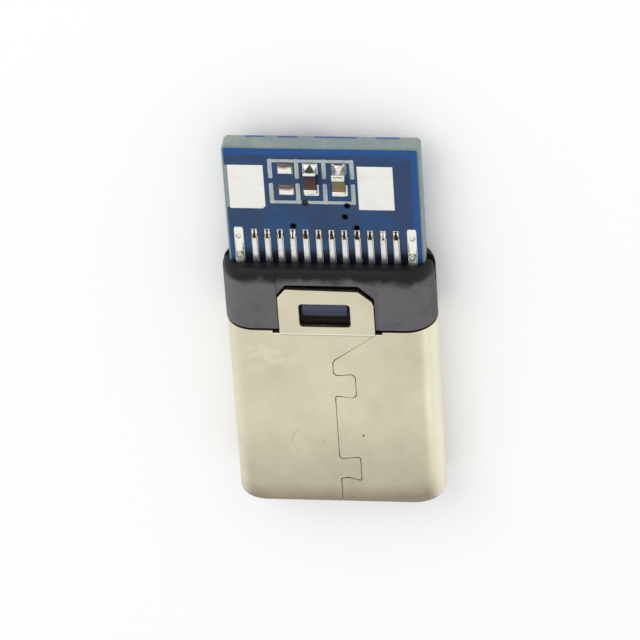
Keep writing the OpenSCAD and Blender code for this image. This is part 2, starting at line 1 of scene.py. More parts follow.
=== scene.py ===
import bpy
import numpy as np
from mathutils import Matrix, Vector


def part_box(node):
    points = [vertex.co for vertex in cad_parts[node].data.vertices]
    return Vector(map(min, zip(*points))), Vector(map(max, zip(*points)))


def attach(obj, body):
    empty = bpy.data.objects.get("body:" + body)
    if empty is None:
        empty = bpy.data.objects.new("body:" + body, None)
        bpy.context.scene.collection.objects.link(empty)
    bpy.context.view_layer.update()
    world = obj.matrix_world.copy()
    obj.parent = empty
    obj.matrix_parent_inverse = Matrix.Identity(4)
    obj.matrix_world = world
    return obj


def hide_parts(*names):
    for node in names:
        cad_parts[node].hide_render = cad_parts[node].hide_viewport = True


bl_info = {
    "name": "Plug on a paddle board",
    "version": (1, 0, 0),
    "blender": (4, 5, 0),
    "location": "View3D > Sidebar > Plug",
    "description": "Dresses the packed plug: shell, housing, contacts, board, lands, solder and chips",
    "category": "Object",
}

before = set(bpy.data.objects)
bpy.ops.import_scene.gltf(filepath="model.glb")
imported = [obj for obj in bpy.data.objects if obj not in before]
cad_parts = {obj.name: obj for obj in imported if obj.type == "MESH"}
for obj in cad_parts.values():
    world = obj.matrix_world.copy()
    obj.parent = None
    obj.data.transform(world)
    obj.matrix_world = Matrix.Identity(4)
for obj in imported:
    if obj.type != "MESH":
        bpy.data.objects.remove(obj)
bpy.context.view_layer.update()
MM = 0.001
SHARP = 35.0


def span(node):
    """Lowest and highest corner of a CAD node, in millimetres."""
    low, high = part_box(node)
    return np.array(low) / MM, np.array(high) / MM


def linear(red, green, blue):
    """Linear colour from the three display values, each out of 255: the display curve's inverse."""
    shown = np.array([red, green, blue]) / 255
    straight = np.where(shown <= 0.04045, shown / 12.92, ((shown + 0.055) / 1.055) ** 2.4)
    return tuple(float(v) for v in straight)


def length(name, description, millimetres):
    """A length that a user can change, given in millimetres and kept in metres."""
    return bpy.props.FloatProperty(
        name=name, description=description, default=millimetres * MM, min=-1.0, max=1.0,
        precision=6, unit="LENGTH", subtype="DISTANCE")


def share(name, description, value):
    """A plain number from 0 to 1 that a user can change."""
    return bpy.props.FloatProperty(name=name, description=description, default=value, min=0.0, max=1.0,
                                   subtype="FACTOR")


def colour(name, description, red, green, blue):
    """A colour that a user can change, given in display values out of 255."""
    return bpy.props.FloatVectorProperty(
        name=name, description=description, default=linear(red, green, blue), min=0.0, max=1.0,
        size=3, subtype="COLOR")


HOUSING_LOW, HOUSING_HIGH = span("rear_housing")
BOARD_LOW, BOARD_HIGH = span("board")
RESISTOR_LOW, RESISTOR_HIGH = span("resistor")
CAPACITOR_LOW, CAPACITOR_HIGH = span("capacitor")
HOUSING_Y = HOUSING_HIGH[1]
BOARD_TOP = BOARD_HIGH[2]
LAND_TOP = span("board_lands")[1][2]
TAIL_END = span("upper_contact_1")[1][1]
TAIL_SPAN = 3.05
LEG_X = 3.36
SEAM_DIRT = linear(132, 114, 88)
JOINT_DARK = linear(58, 36, 22)
PIT = (1.10, 3.22)
CURL = (-1.1, 2.92)
CURL_RADIUS = 0.645


class ShellLook(bpy.types.PropertyGroup):
    """Sizes and colours of the folded shell."""

    width: length("Width", "Outer width of the shell", 8.25)
    height: length("Height", "Outer height of the shell", 2.4)
    rim: length("Rim", "Distance from the nose to the rear rim", 8.17)
    sheet: length("Sheet", "Thickness of the sheet", 0.22)
    nose_round: length("Nose rounding", "Radius of the nose's outer edge", 0.06)
    edge: length("Edge", "Small bevel on cut edges", 0.02)
    seam: length("Seam", "Width of the seam at its bends", 0.042)
    seam_tight: length("Tight seam", "Width of the seam where the sheet is pressed shut", 0.014)
    tab_width: length("Tab width", "Width of the tab over the housing", 3.75)
    tab_end: length("Tab end", "Distance from the nose to the tab's end", 10.09)
    tab_shift: length("Tab shift", "Sideways offset of the front tab", -0.06)
    tab_lift: length("Tab lift", "Height of the front tab above the shell", 0.03)
    window_width: length("Window width", "Width of the tab's window", 2.0)
    window_length: length("Window length", "Length of the tab's window", 1.05)
    window_round: length("Window rounding", "Radius of the window's corners", 0.14)
    window_back: length("Window place", "Distance from the rim to the window's middle", 0.73)
    relief_width: length("Relief width", "Width of the cut beside the tab's root", 0.28)
    relief_depth: length("Relief depth", "Depth of the cut beside the tab's root", 0.14)
    metal: colour("Metal", "Pale nickel of the shell", 214, 208, 182)
    # Colour of the cloudy tarnish and of the painted shade towards the nose and on the flat faces.
    tarnish_and_shade: colour("Tarnish", "Darker tone towards the nose", 146, 135, 119)
    # Colour of the dirt in the pit, specks and scratch, and of the painted shade in the crease.
    grime_and_crease_shade: colour("Grime", "Dirt in pits, scuffs and creases", 96, 88, 74)
    roughness: share("Roughness", "Roughness of the rolled sheet", 0.33)


class HousingLook(bpy.types.PropertyGroup):
    """Sizes and colours of the moulded housing."""

    width: length("Width", "Outer width of the housing", 8.31)
    rear_round: length("Rear rounding across", "Rounding of the rear edge, across", 0.22)
    rear_slope: length("Rear rounding lengthways", "Rounding of the rear edge, lengthways", 0.45)
    step_width: length("Step width", "Width of the shallow step around the tab", 3.94)
    step_depth: length("Step depth", "Depth of the shallow step around the tab", 0.05)
    slit: length("Side slit", "Height of the slit in each side", 0.34)
    slit_length: length("Side slit length", "Length of the slit in each side", 1.05)
    clearance: length("Clearance", "Gap around the parts that the housing holds", 0.03)
    lug_width: length("Lug width", "Width of the lug in the tab's window", 1.74)
    rim_gap: length("Rim gap", "Open joint between the shell's rim and the housing", 0.065)
    flash: length("Flash", "Height of the moulding flash on the right edge", 0.03)
    face: colour("Face", "Rubbed plastic of the broad faces", 98, 95, 99)
    rear: colour("Rear", "Plastic of the rounded rear edge", 18, 12, 10)
    inner: colour("Inner", "Plastic of the mouldings inside the shell", 26, 26, 28)


class BoardLook(bpy.types.PropertyGroup):
    """Sizes and colours of the board, its lands and its print."""

    mask: colour("Mask", "Slate blue solder mask", 43, 71, 106)
    mask_bare: colour("Dark mask", "Slate blue mask where it lies thick", 32, 52, 90)
    mask_blue: colour("Blue mask", "Bluer patches of the mask", 24, 74, 124)
    mask_edge: colour("Mask edge", "Brighter mask along the board's edges", 16, 78, 146)
    laminate: colour("Laminate", "Glass laminate of the edges", 146, 158, 150)
    laminate_cool: colour("Cool laminate", "Cooler glass fibres in the laminate", 116, 138, 152)
    print: colour("Print", "Pale printed lines", 176, 186, 182)
    print_width: length("Print width", "Width of a printed line", 0.165)
    print_height: length("Print height", "Thickness of the printed lines", 0.012)


class MetalLook(bpy.types.PropertyGroup):
    """Sizes and colours of the contacts, springs, lands and solder."""

    contact: colour("Contact", "Tinned contact tails", 240, 238, 234)
    contact_gold: colour("Contact crown", "Gold-plated crowns inside the plug", 240, 204, 116)
    steel: colour("Steel", "Bright spring steel", 196, 194, 184)
    tin: colour("Tin", "Tinned lands", 240, 239, 234)
    solder: colour("Solder", "Bright solder", 242, 240, 230)
    flux: colour("Flux", "Brown flux left at the solder's edges", 84, 62, 36)
    contact_width: length("Contact width", "Width of a contact", 0.22)
    contact_thickness: length("Contact thickness", "Thickness of a contact", 0.12)


class ChipLook(bpy.types.PropertyGroup):
    """Colours of the two chip parts."""

    resistor: colour("Resistor", "Dark glaze of the resistor", 62, 42, 32)
    capacitor: colour("Capacitor", "Olive tan ceramic of the capacitor", 118, 110, 76)
    cap: colour("End cap", "Tinned end caps", 232, 236, 224)


class StageLook(bpy.types.PropertyGroup):
    """Camera, floor and lamps."""

    distance: length("Camera distance", "Distance from the camera to the plug's middle", 200.0)
    lens: length("Lens", "Focal length on a sensor 36 mm wide", 287.9)
    ambient: share("Ambient", "Strength of the even light from all round", 0.84)


class Value:
    """A shader socket in Python expressions: arithmetic on it adds Math nodes to its tree."""

    def __init__(self, tree, socket=None):
        self.tree = tree
        self.socket = socket

    def node(self, kind, settings=None, inputs=None, output=0):
        """Add a node of this type, with its settings first and then the values or links of its sockets."""
        made = self.tree.nodes.new(kind)
        for name, setting in (settings or {}).items():
            setattr(made, name, setting)
        for name, value in (inputs or {}).items():
            if isinstance(value, Value):
                self.tree.links.new(value.socket, made.inputs[name])
            else:
                made.inputs[name].default_value = value
        return Value(self.tree, made.outputs[output])

    def output(self, name):
        """Another output of this value's node."""
        return Value(self.tree, self.socket.node.outputs[name])

    def math(self, operation, *others):
        """This value and others joined by a Math node."""
        return self.node("ShaderNodeMath", {"operation": operation}, dict(enumerate([self, *others])))

    def __add__(self, other):
        return self.math("ADD", other)

    __radd__ = __add__

    def __sub__(self, other):
        return self.math("SUBTRACT", other)

    def __rsub__(self, other):
        return self.node("ShaderNodeMath", {"operation": "SUBTRACT"}, {0: other, 1: self})

    def __mul__(self, other):
        return self.math("MULTIPLY", other)

    __rmul__ = __mul__

    def __truediv__(self, other):
        return self.math("DIVIDE", other)

    def __rtruediv__(self, other):
        return self.node("ShaderNodeMath", {"operation": "DIVIDE"}, {0: other, 1: self})

    def __abs__(self):
        return self.math("ABSOLUTE")

    def clamp(self):
        """This value held between 0 and 1."""
        return self.node("ShaderNodeClamp", None, {"Value": self})

    def rise(self, start, end):
        """0 where this value is below start and 1 above end, with a smooth step between."""
        return self.node("ShaderNodeMapRange", {"interpolation_type": "SMOOTHSTEP"},
                         {"Value": self, "From Min": start, "From Max": end})

    def band(self, middle, half, soft):
        """1 where this value is within half of the middle, falling to 0 over the soft width."""
        return 1 - abs(self - middle).rise(half, half + soft)

    def mix(self, first, second):
        """Colour that goes from first to second as this value goes from 0 to 1."""
        ends = [tone if isinstance(tone, Value) else (*tone, 1.0) for tone in (first, second)]
        return self.node("ShaderNodeMix", {"data_type": "RGBA"}, {0: self, 6: ends[0], 7: ends[1]}, 2)

    def noise(self, scale, detail=2.0, roughness=0.5, stretch=(1.0, 1.0, 1.0)):
        """Noise from 0 to 1 on this vector, with scale in waves per millimetre."""
        place = self.node("ShaderNodeVectorMath", {"operation": "MULTIPLY"}, {0: self, 1: stretch})
        return self.node("ShaderNodeTexNoise", None,
                         {"Vector": place, "Scale": scale, "Detail": detail, "Roughness": roughness})


def larger(first, second):
    """The larger of a value and another value or a number."""
    return first.math("MAXIMUM", second)


def apart(x, y, middle):
    """Squared distance from a point in x and y."""
    across, along = x - middle[0], y - middle[1]
    return across * across + along * along


def finish(name, constants, varied):
    """A Principled material. Constants are set on its sockets; varied gets the place in millimetres
    and its x, y and z, and returns the values to link."""
    material = bpy.data.materials.new(name)
    material.use_nodes = True
    tree = material.node_tree
    shader = tree.nodes["Principled BSDF"]
    for socket, value in constants.items():
        shader.inputs[socket].default_value = value
    start = Value(tree)
    place = start.node("ShaderNodeTexCoord", None, None, "Object")
    place = place.node("ShaderNodeVectorMath", {"operation": "SCALE"}, {0: place, "Scale": 1 / MM})
    split = place.node("ShaderNodeSeparateXYZ", None, {0: place})
    for socket, value in varied(place, split, split.output("Y"), split.output("Z")).items():
        tree.links.new(value.socket, shader.inputs[socket])
    return material


def bump(height, depth, strength=1.0):
    """Normal from a height of 0 to 1 that stands for a depth in millimetres."""
    return height.node("ShaderNodeBump", None,
                       {"Height": height, "Distance": depth * MM, "Strength": strength})


def oval_columns(flat, top_stops, bottom_stops, steps):
    """Spine x and outward direction once around an oval: along the top from left to right, half a turn
    about the right end of the flat, back along the bottom and half a turn about the left end."""
    turn = np.linspace(0.5, -0.5, steps + 1)[1:-1] * np.pi
    ends = [-flat / 2, flat / 2]
    top = np.unique(np.concatenate([ends, top_stops]))
    bottom = np.unique(np.concatenate([ends, bottom_stops]))[::-1]
    spine = np.concatenate([top, np.full(turn.size, ends[1]), bottom, np.full(turn.size, ends[0])])
    angle = np.concatenate([np.full(top.size, 0.5 * np.pi), turn,
                            np.full(bottom.size, -0.5 * np.pi), turn - np.pi])
    return spine, np.cos(angle), np.sin(angle)


def rounded(corners, radii, steps, closed=False):
    """Path with its corners turned into arcs. Each arc touches both sides at radius / tan(half angle) from
    the corner, and its points turn evenly from one touch to the other about the centre on the bisector."""
    corners = np.asarray(corners, float)
    radii = np.broadcast_to(np.asarray(radii, float), len(corners))[:, None]
    before = np.roll(corners, 1, 0) - corners
    after = np.roll(corners, -1, 0) - corners
    before /= np.linalg.norm(before, axis=1, keepdims=True)
    after /= np.linalg.norm(after, axis=1, keepdims=True)
    half = np.arccos(np.clip((before * after).sum(1, keepdims=True), -1, 1)) / 2
    bisector = before + after
    bisector /= np.linalg.norm(bisector, axis=1, keepdims=True)
    centre = corners + bisector * radii / np.sin(half)
    first = corners + before * radii / np.tan(half) - centre
    last = corners + after * radii / np.tan(half) - centre
    sweep = (np.pi - 2 * half)[:, None]
    t = np.linspace(0, 1, steps + 1)[None, :, None]
    blend = np.sin((1 - t) * sweep) * first[:, None] + np.sin(t * sweep) * last[:, None]
    arcs = centre[:, None] + blend / np.sin(sweep)
    if closed:
        return arcs.reshape(-1, corners.shape[1])
    return np.concatenate([corners[:1], arcs[1:-1].reshape(-1, corners.shape[1]), corners[-1:]])


def rectangle(width, height, radius, steps=4):
    """Rounded rectangle about the origin, once around."""
    corners = np.array([[1, 1], [-1, 1], [-1, -1], [1, -1]]) * [width / 2, height / 2]
    return rounded(corners, radius, steps, closed=True)


def tube(rings):
    """Faces of a closed tube: rings[i, j] joins to its neighbours along both ways, and a flat face closes
    each end. Returns its points and faces, turned outwards if its signed volume is below zero."""
    rows, columns = rings.shape[:2]
    index = np.arange(rows * columns).reshape(rows, columns)
    beside = np.roll(index, -1, 1)
    quads = np.stack([index[:-1], beside[:-1], beside[1:], index[1:]], -1).reshape(-1, 4)
    faces = quads.tolist() + [index[0][::-1].tolist(), index[-1].tolist()]
    return outward(rings.reshape(-1, 3), faces)


def torus(rings):
    """Faces of a ring-shaped solid: rings[i, j] joins to its neighbours, and both ways close up."""
    rows, columns = rings.shape[:2]
    index = np.arange(rows * columns).reshape(rows, columns)
    beside, ahead = np.roll(index, -1, 1), np.roll(index, -1, 0)
    quads = np.stack([index, beside, np.roll(beside, -1, 0), ahead], -1).reshape(-1, 4)
    return outward(rings.reshape(-1, 3), quads.tolist())


def outward(points, faces):
    """Points and faces with every face turned outwards: the sum over the fans of a . (b x c) is six times the
    volume, and a negative one means that the faces look inwards."""
    fans = np.array([(f[0], f[i], f[i + 1]) for f in faces for i in range(1, len(f) - 1)])
    a, b, c = (points[fans[:, k]] for k in range(3))
    if (a * np.cross(b, c)).sum() < 0:
        faces = [face[::-1] for face in faces]
    return points, faces


def piece(name, solids, sharp=SHARP):
    """Mesh object of these closed solids, given in millimetres, smooth but for edges over the sharp angle."""
    mesh = bpy.data.meshes.new(name)
    shift, points, faces = 0, [], []
    for solid_points, solid_faces in solids:
        points.append(solid_points)
        faces += [[shift + corner for corner in face] for face in solid_faces]
        shift += len(solid_points)
    mesh.from_pydata((np.concatenate(points) * MM).tolist(), [], faces)
    made = bpy.data.objects.new(name, mesh)
    bpy.context.scene.collection.objects.link(made)
    smooth(made, sharp)
    return made


def smooth(made, sharp):
    """Smooth shading with edges over the sharp angle, in degrees, kept sharp."""
    made.data.polygons.foreach_set("use_smooth", np.ones(len(made.data.polygons), bool))
    made.data.set_sharp_from_angle(angle=np.radians(sharp))
    made.data.update()


def cut(made, cutters):
    """Take the cutters away from a piece and delete them."""
    for cutter in cutters:
        modifier = made.modifiers.new("cut", "BOOLEAN")
        modifier.operation = "DIFFERENCE"
        modifier.solver = "EXACT"
        modifier.object = cutter
    graph = bpy.context.evaluated_depsgraph_get()
    graph.update()
    mesh = bpy.data.meshes.new_from_object(made.evaluated_get(graph))
    made.modifiers.clear()
    made.data = mesh
    for cutter in cutters:
        bpy.data.objects.remove(cutter)
    smooth(made, SHARP)


def dress(made, material, slot, *nodes):
    """Give a new piece its material and body, and let it stand for these CAD nodes."""
    made.data.materials.clear()
    made.data.materials.append(material)
    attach(made, "root")
    if nodes:
        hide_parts(*nodes)


def repaint(material, *nodes):
    """Give CAD nodes another material."""
    for node in nodes:
        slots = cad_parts[node].data.materials
        for place in range(len(slots)):
            slots[place] = material


def box(low, high):
    """Block between two corners, as two rings of a tube."""
    low, high = np.asarray(low, float), np.asarray(high, float)
    corner = np.array([[0, 0], [1, 0], [1, 1], [0, 1]])
    ring = np.concatenate([low[:2] + corner * (high - low)[:2], np.zeros((4, 1))], 1)
    return tube(np.stack([ring + [0, 0, low[2]], ring + [0, 0, high[2]]]))


def prism(outline, low, high):
    """Flat outline in x and y carried up from low to high."""
    rise = np.zeros((len(outline), 1))
    return tube(np.stack([np.concatenate([outline, rise + level], 1) for level in (low, high)]))


def cushion(outline, levels):
    """Slab on a flat outline: ring k is the outline drawn in towards its middle by a share and raised to a
    height, so that its edges round over and its top is crowned."""
    middle = (outline.min(0) + outline.max(0)) / 2
    rings = [np.column_stack([middle + (outline - middle) * (1 - inward), np.full(len(outline), height)])
             for inward, height in levels]
    return tube(np.stack(rings))


def sweep(path, side, up, section):
    """Section carried along a path: point = path + side * section x + up * section y. The section may be one
    ring or one ring for each point of the path."""
    section = np.broadcast_to(section, (len(path), *section.shape[-2:]))
    side, up = (np.broadcast_to(v, path.shape)[:, None] for v in (side, up))
    return tube(path[:, None] + side * section[..., :1] + up * section[..., 1:])


def path_normals(path):
    """Unit normals of a flat path, a quarter turn left of its central differences."""
    along = np.gradient(path, axis=0)
    along /= np.linalg.norm(along, axis=1, keepdims=True)
    return np.column_stack([-along[:, 1], along[:, 0]])


def distance_along(centre, angles, outline):
    """Distance from a centre to a closed outline at each angle. On the side a + s (b - a) the ray's length is
    cross(a, b - a) / cross(direction, b - a), and it counts where s is from 0 to 1."""
    start = outline - centre
    side = np.roll(start, -1, 0) - start
    ray = np.column_stack([np.cos(angles), np.sin(angles)])
    cross = ray[:, None, 0] * side[None, :, 1] - ray[:, None, 1] * side[None, :, 0]
    cross = np.where(np.abs(cross) < 1e-12, 1e-12, cross)
    reach = (start[:, 0] * side[:, 1] - start[:, 1] * side[:, 0])[None] / cross
    share_along = (start[None, :, 0] * ray[:, None, 1] - start[None, :, 1] * ray[:, None, 0]) / cross
    hit = (share_along > -1e-9) & (share_along < 1 + 1e-9) & (reach > 0)
    return np.where(hit, reach, 0).max(1)


def seam_path(look):
    """Line of the folded sheet's seam in x and y, from the tab's relief cut down past the nose, and its
    width at each point: widest at the bends, by a bell curve of the distance to the nearest one, and pressed
    shut beside the rear tongue and below the tab."""
    x0 = (look.tab_shift + look.tab_width / 2) / MM + 0.02
    y0 = (look.rim - look.relief_depth) / MM
    corners = [[x0, y0], [0.07, y0 - 1.28], [0.07, 6.06], [0.92, 6.15], [0.92, 5.01], [0.09, 5.10],
               [0.09, 2.08], [0.92, 2.17], [0.92, 1.03], [0.39, 1.18], [0.11, 1.12], [0.11, -0.2]]
    radii = [0, 0.3, 0.17, 0.18, 0.18, 0.08, 0.14, 0.1, 0.08, 0.15, 0.05, 0]
    bent = rounded(corners, radii, 8)
    travelled = np.concatenate([[0], np.cumsum(np.linalg.norm(np.diff(bent, axis=0), axis=1))])
    stations = np.unique(np.round(np.concatenate([travelled, np.arange(0, travelled[-1], 0.12)]), 2))
    path = np.column_stack([np.interp(stations, travelled, bent[:, axis]) for axis in (0, 1)])
    bends = np.linalg.norm(path[:, None] - np.array(corners[1:-1])[None], axis=2).min(1)
    shut = np.exp(-(((path[:, 0] - 0.65) / 0.14) ** 2 + ((path[:, 1] - 5.03) / 0.1) ** 2))
    shut = np.maximum(shut, np.clip((path[:, 1] - y0 + 0.9) / 0.4, 0, 1))
    openness = (0.35 + 0.65 * np.exp(-(bends / 0.3) ** 2)) * (1 - shut)
    return path, (look.seam_tight + (look.seam - look.seam_tight) * openness) / MM


def tab_solid(look, face, shift, lift, left_cut, right_cut):
    """Tab as a ring-shaped slab between its outline and its window. At each angle about the window's middle,
    the section runs from the window's edge to the outline, with both edges bevelled; its height climbs by a
    smooth step where the tab leaves the shell."""
    half = look.tab_width / MM / 2
    end = look.tab_end / MM
    root = (look.rim - look.relief_depth) / MM - 0.1
    corners = np.array([[-half, root], [half, root], [half, end - right_cut[1] - 0.18],
                        [half - 0.07, end - right_cut[1]], [half - right_cut[0], end - 0.06],
                        [-half + left_cut[0], end], [-half, end - left_cut[1]]]) + [shift, 0]
    outline = rounded(corners, [0.01, 0.01, 0.1, 0.1, 0.06, 0.06, 0.06], 4, closed=True)
    centre = np.array([2 * shift, (look.rim + look.window_back) / MM])
    window = rectangle(look.window_width / MM, look.window_length / MM, look.window_round / MM, 6) + centre
    angles = np.concatenate([np.arctan2(*(loop - centre).T[::-1]) for loop in (outline, window)])
    angles = np.unique(np.round(np.concatenate([angles, np.linspace(-np.pi, np.pi, 120, endpoint=False)]), 5))
    inner = distance_along(centre, angles, window)[:, None]
    outer = distance_along(centre, angles, outline)[:, None]
    edge, rest = 0.028, 0.006
    middle = (inner + outer) / 2
    bend = root + np.linspace(0.13, 0.02, 8)
    depth = np.sin(angles)[:, None]
    to_bend = np.where(depth < -0.05, (bend - centre[1]) / np.minimum(depth, -0.05), np.inf)
    bend_rings = np.minimum(to_bend, outer - edge - rest - 0.001 * np.arange(8, 0, -1))
    bend_rings = np.maximum(bend_rings, middle + 0.001 * np.arange(1, 9))
    reach = np.concatenate([inner, inner + 0.3 * edge, inner + edge, inner + edge + rest, middle, bend_rings,
                            outer - edge - rest, outer - edge, outer - 0.3 * edge, outer,
                            outer, outer - edge, middle, inner + edge, inner], 1)
    drop = np.array([-edge, -0.3 * edge] + [0.0] * 13 + [-0.3 * edge, -edge])
    below = np.array([edge, 0, 0, 0, edge])
    x = centre[0] + reach * np.cos(angles)[:, None]
    y = centre[1] + reach * depth
    climb = np.clip((y - root - 0.02) / 0.09, 0, 1)
    top = face - 0.006 + (lift + 0.006) * climb * climb * (3 - 2 * climb)
    z = top + np.concatenate([drop, below - look.sheet / MM])
    return torus(np.stack([x, y, z], -1))


def turned(solid):
    """A solid turned half a turn about the plug's axis."""
    points, faces = solid
    return points * [-1, 1, -1], faces


def make_shell(look):
    """Folded shell. The wall is a closed profile in depth and y carried around an oval: outer face, rounded
    nose, inner face and rim; the rim steps back where the relief cuts are. A strip cuts the seam's groove."""
    radius = look.height / MM / 2
    sheet, edge, nose = look.sheet / MM, look.edge / MM, look.nose_round / MM
    rim, relief = look.rim / MM, look.relief_depth / MM
    half_tab = look.tab_width / MM / 2
    reach = look.relief_width / MM
    shift = look.tab_shift / MM
    step = 0.004
    notch = half_tab + reach
    top_stops = shift + np.array([-notch, -notch + step, notch - step, notch])
    bottom_stops = np.array([-notch, -notch + step, notch - step, notch])
    spine, across, up = oval_columns((look.width - look.height) / MM, top_stops, bottom_stops, 28)
    middle = np.where(up > 0, shift, 0.0)
    cut_back = (np.abs(spine - middle) < notch - step / 2) & (np.abs(up) > 0.999)
    rim_line = rim - relief * cut_back
    turn = np.linspace(0, 0.5 * np.pi, 7)
    depth = np.concatenate([[0], nose * (1 - np.cos(turn)), [sheet - edge, sheet, sheet, sheet - edge, edge]])
    along = np.concatenate([[-edge], nose * (1 - np.sin(turn)), [0, edge, -edge, 0, 0]])
    at_rim = np.concatenate([[1], np.zeros(turn.size), [0, 0, 1, 1, 1]])
    x = spine[:, None] + (radius - depth) * across[:, None]
    y = along + at_rim * rim_line[:, None]
    z = (radius - depth) * up[:, None]
    tabs = [tab_solid(look, radius, shift, look.tab_lift / MM, (0.32, 0.38), (0.58, 0.5)),
            turned(tab_solid(look, radius, 0.0, 0.0, (0.45, 0.42), (0.45, 0.42)))]
    shell = piece("folded_shell", [torus(np.stack([x, y, z], -1))])
    path, width = seam_path(look)
    floor = 0.08 - sheet
    strip = width[:, None, None] / 2 * [[1, 0], [-1, 0], [-1, 0], [1, 0]]
    strip = strip + [[0, floor], [0, floor], [0, 0.2], [0, 0.2]]
    flat = np.column_stack([path, np.full(len(path), radius)])
    side = np.column_stack([path_normals(path), np.zeros(len(path))])
    cut(shell, [piece("seam_cutter", [sweep(flat, side, np.array([0, 0, 1]), strip)])])
    tab_piece = piece("tabs", tabs)
    return join(shell, tab_piece)


def join(made, *others):
    """One mesh of these pieces, kept under the first one's name."""
    with bpy.context.temp_override(active_object=made, selected_editable_objects=[made, *others]):
        bpy.ops.object.join()
    return made


def shell_metal(look):
    """Rolled nickel-plated sheet: fine rolling lines along the plug, cloudy tarnish, painted shade that deepens
    towards the nose and on the flat faces, a painted highlight on the right end, a pit, scuffs, a curved
    scratch, a painted highlight along the bend at the tab's root with painted shade in the crease at its foot,
    dirt in the groove, and dirt with a painted contact shadow in the joint at the rim."""
    shift = look.tab_shift / MM
    rim = look.rim / MM
    radius = look.height / MM / 2
    half_tab = look.tab_width / MM / 2

    def varied(place, x, y, z):
        clouds = place.noise(0.45, 3.0, 0.55)
        blots = place.noise(1.3, 3.0, 0.6)
        streaks = place.noise(6.0, 2.0, 0.6, (1.0, 0.05, 1.0))
        grain = place.noise(28.0, 2.0, 0.6)
        front = z.rise(radius - 0.1, radius - 0.02)
        groove = z.band(radius - 0.1, 0.07, 0.01) * x.band(0.98, 1.0, 0.02)
        groove = groove * y.band(rim / 2, rim / 2 - 0.3, 0.05)
        flat = abs(z).rise(radius - 0.5, radius - 0.05)
        # Painted shade: darker towards the nose and darkest at its very edge, and darker on the flat faces,
        # more so to the right.
        painted_shade = (1 - y.rise(-0.6, 4.4)) * 0.55 + (1 - y.rise(-0.1, 1.0)) * 0.5
        painted_shade = painted_shade + (1 - y.rise(0.02, 0.16)) * 0.75
        painted_shade = painted_shade * (0.45 + flat * 0.55) + flat * (0.06 + x.rise(0.5, 3.0) * 0.07)
        tone = (painted_shade + clouds * 0.4 + blots * 0.3 + streaks * 0.06 - 0.38).clamp()
        metal = tone.mix(tuple(look.metal), tuple(look.tarnish_and_shade))
        # Painted highlight: the right end of the shell painted paler.
        metal = (x.rise(3.7, 4.06) * 0.5).mix(metal, linear(244, 240, 218))
        pit = 1 - apart(x, y, PIT).rise(0.0006, 0.0035)
        # Painted shade: a dark line in the crease at the foot of the tab's bend, added to the pit's and the
        # specks' dirt.
        crease = y.band(rim - 0.195, 0.012, 0.03) * (x - shift).band(0.0, half_tab - 0.1, 0.1)
        specks = place.noise(2.6, 3.0, 0.7).rise(0.70, 0.78) * (1 - y.rise(3.5, 6.0)) * 0.45
        dirt_and_crease_shade = (pit + crease * 0.3 + specks).clamp() * front
        tab = (x - shift).band(0.0, half_tab + 0.06, 0.01) * abs(z).rise(radius - 0.3, radius - 0.26)
        # Dirt and painted contact shadow: the rim's cut edge painted dark where it meets the housing.
        joint = y.rise(rim - 0.03, rim - 0.012) * (1 - tab)
        scuff = place.noise(2.2, 4.0, 0.7, (0.45, 1.0, 1.0)).rise(0.5, 0.66)
        scuff = scuff * x.band(-2.0, 1.3, 0.6) * y.band(6.85, 0.45, 0.5)
        # Painted highlight: a pale line along the bend at the tab's root.
        bend = (x - shift).band(0.0, half_tab - 0.06, 0.04) * y.band(rim - 0.14, 0.014, 0.025)
        metal = (scuff * front * 0.4).mix(metal, linear(234, 226, 206))
        metal = (bend * front * 0.7).mix(metal, linear(246, 244, 236))
        scratch = apart(x, y, CURL).math("SQRT").band(CURL_RADIUS, 0.008, 0.03)
        scratch = scratch * x.band(-1.7, 0.2, 0.1) * blots
        metal = (scratch * front * 0.6).mix(metal, tuple(look.grime_and_crease_shade))
        base = dirt_and_crease_shade.mix(metal, tuple(look.grime_and_crease_shade))
        base = (groove * 0.8).mix(base, SEAM_DIRT)
        base = joint.mix(base, JOINT_DARK)
        rough = look.roughness + clouds * 0.1 - 0.05 + dirt_and_crease_shade * 0.3
        height = grain * 0.4 + streaks * 0.2 - pit * 4.0
        return {"Base Color": base, "Roughness": rough, "Normal": bump(height, 0.0012)}

    return finish("shell_metal", {"Metallic": 1.0}, varied)


class PLUG_OT_shell(bpy.types.Operator):
    """Make the folded shell with its seam, tabs and windows"""

    bl_idname = "plug.shell"
    bl_label = "Folded shell"

    def execute(self, context):
        look = context.scene.plug_shell
        dress(make_shell(look), shell_metal(look), "shell_metal", "shell")
        return {"FINISHED"}


def housing_body(look, height, low, high):
    """Oval body: a closed profile in depth and y carried around an oval, with a small front bevel and a rear
    edge rounded by a quarter ellipse."""
    radius = height / 2
    spine, across, up = oval_columns(look.width / MM - height, np.linspace(-1.9, 1.9, 5), [], 28)
    turn = np.linspace(0, 0.5 * np.pi, 9)
    depth = np.concatenate([[0.02, 0], look.rear_round / MM * (1 - np.cos(turn))])
    along = np.concatenate([[low, low + 0.02], high - look.rear_slope / MM * (1 - np.sin(turn))])
    x = spine[None] + (radius - depth)[:, None] * across[None]
    z = (radius - depth)[:, None] * up[None]
    return tube(np.stack([x, np.broadcast_to(along[:, None], x.shape), z], -1))


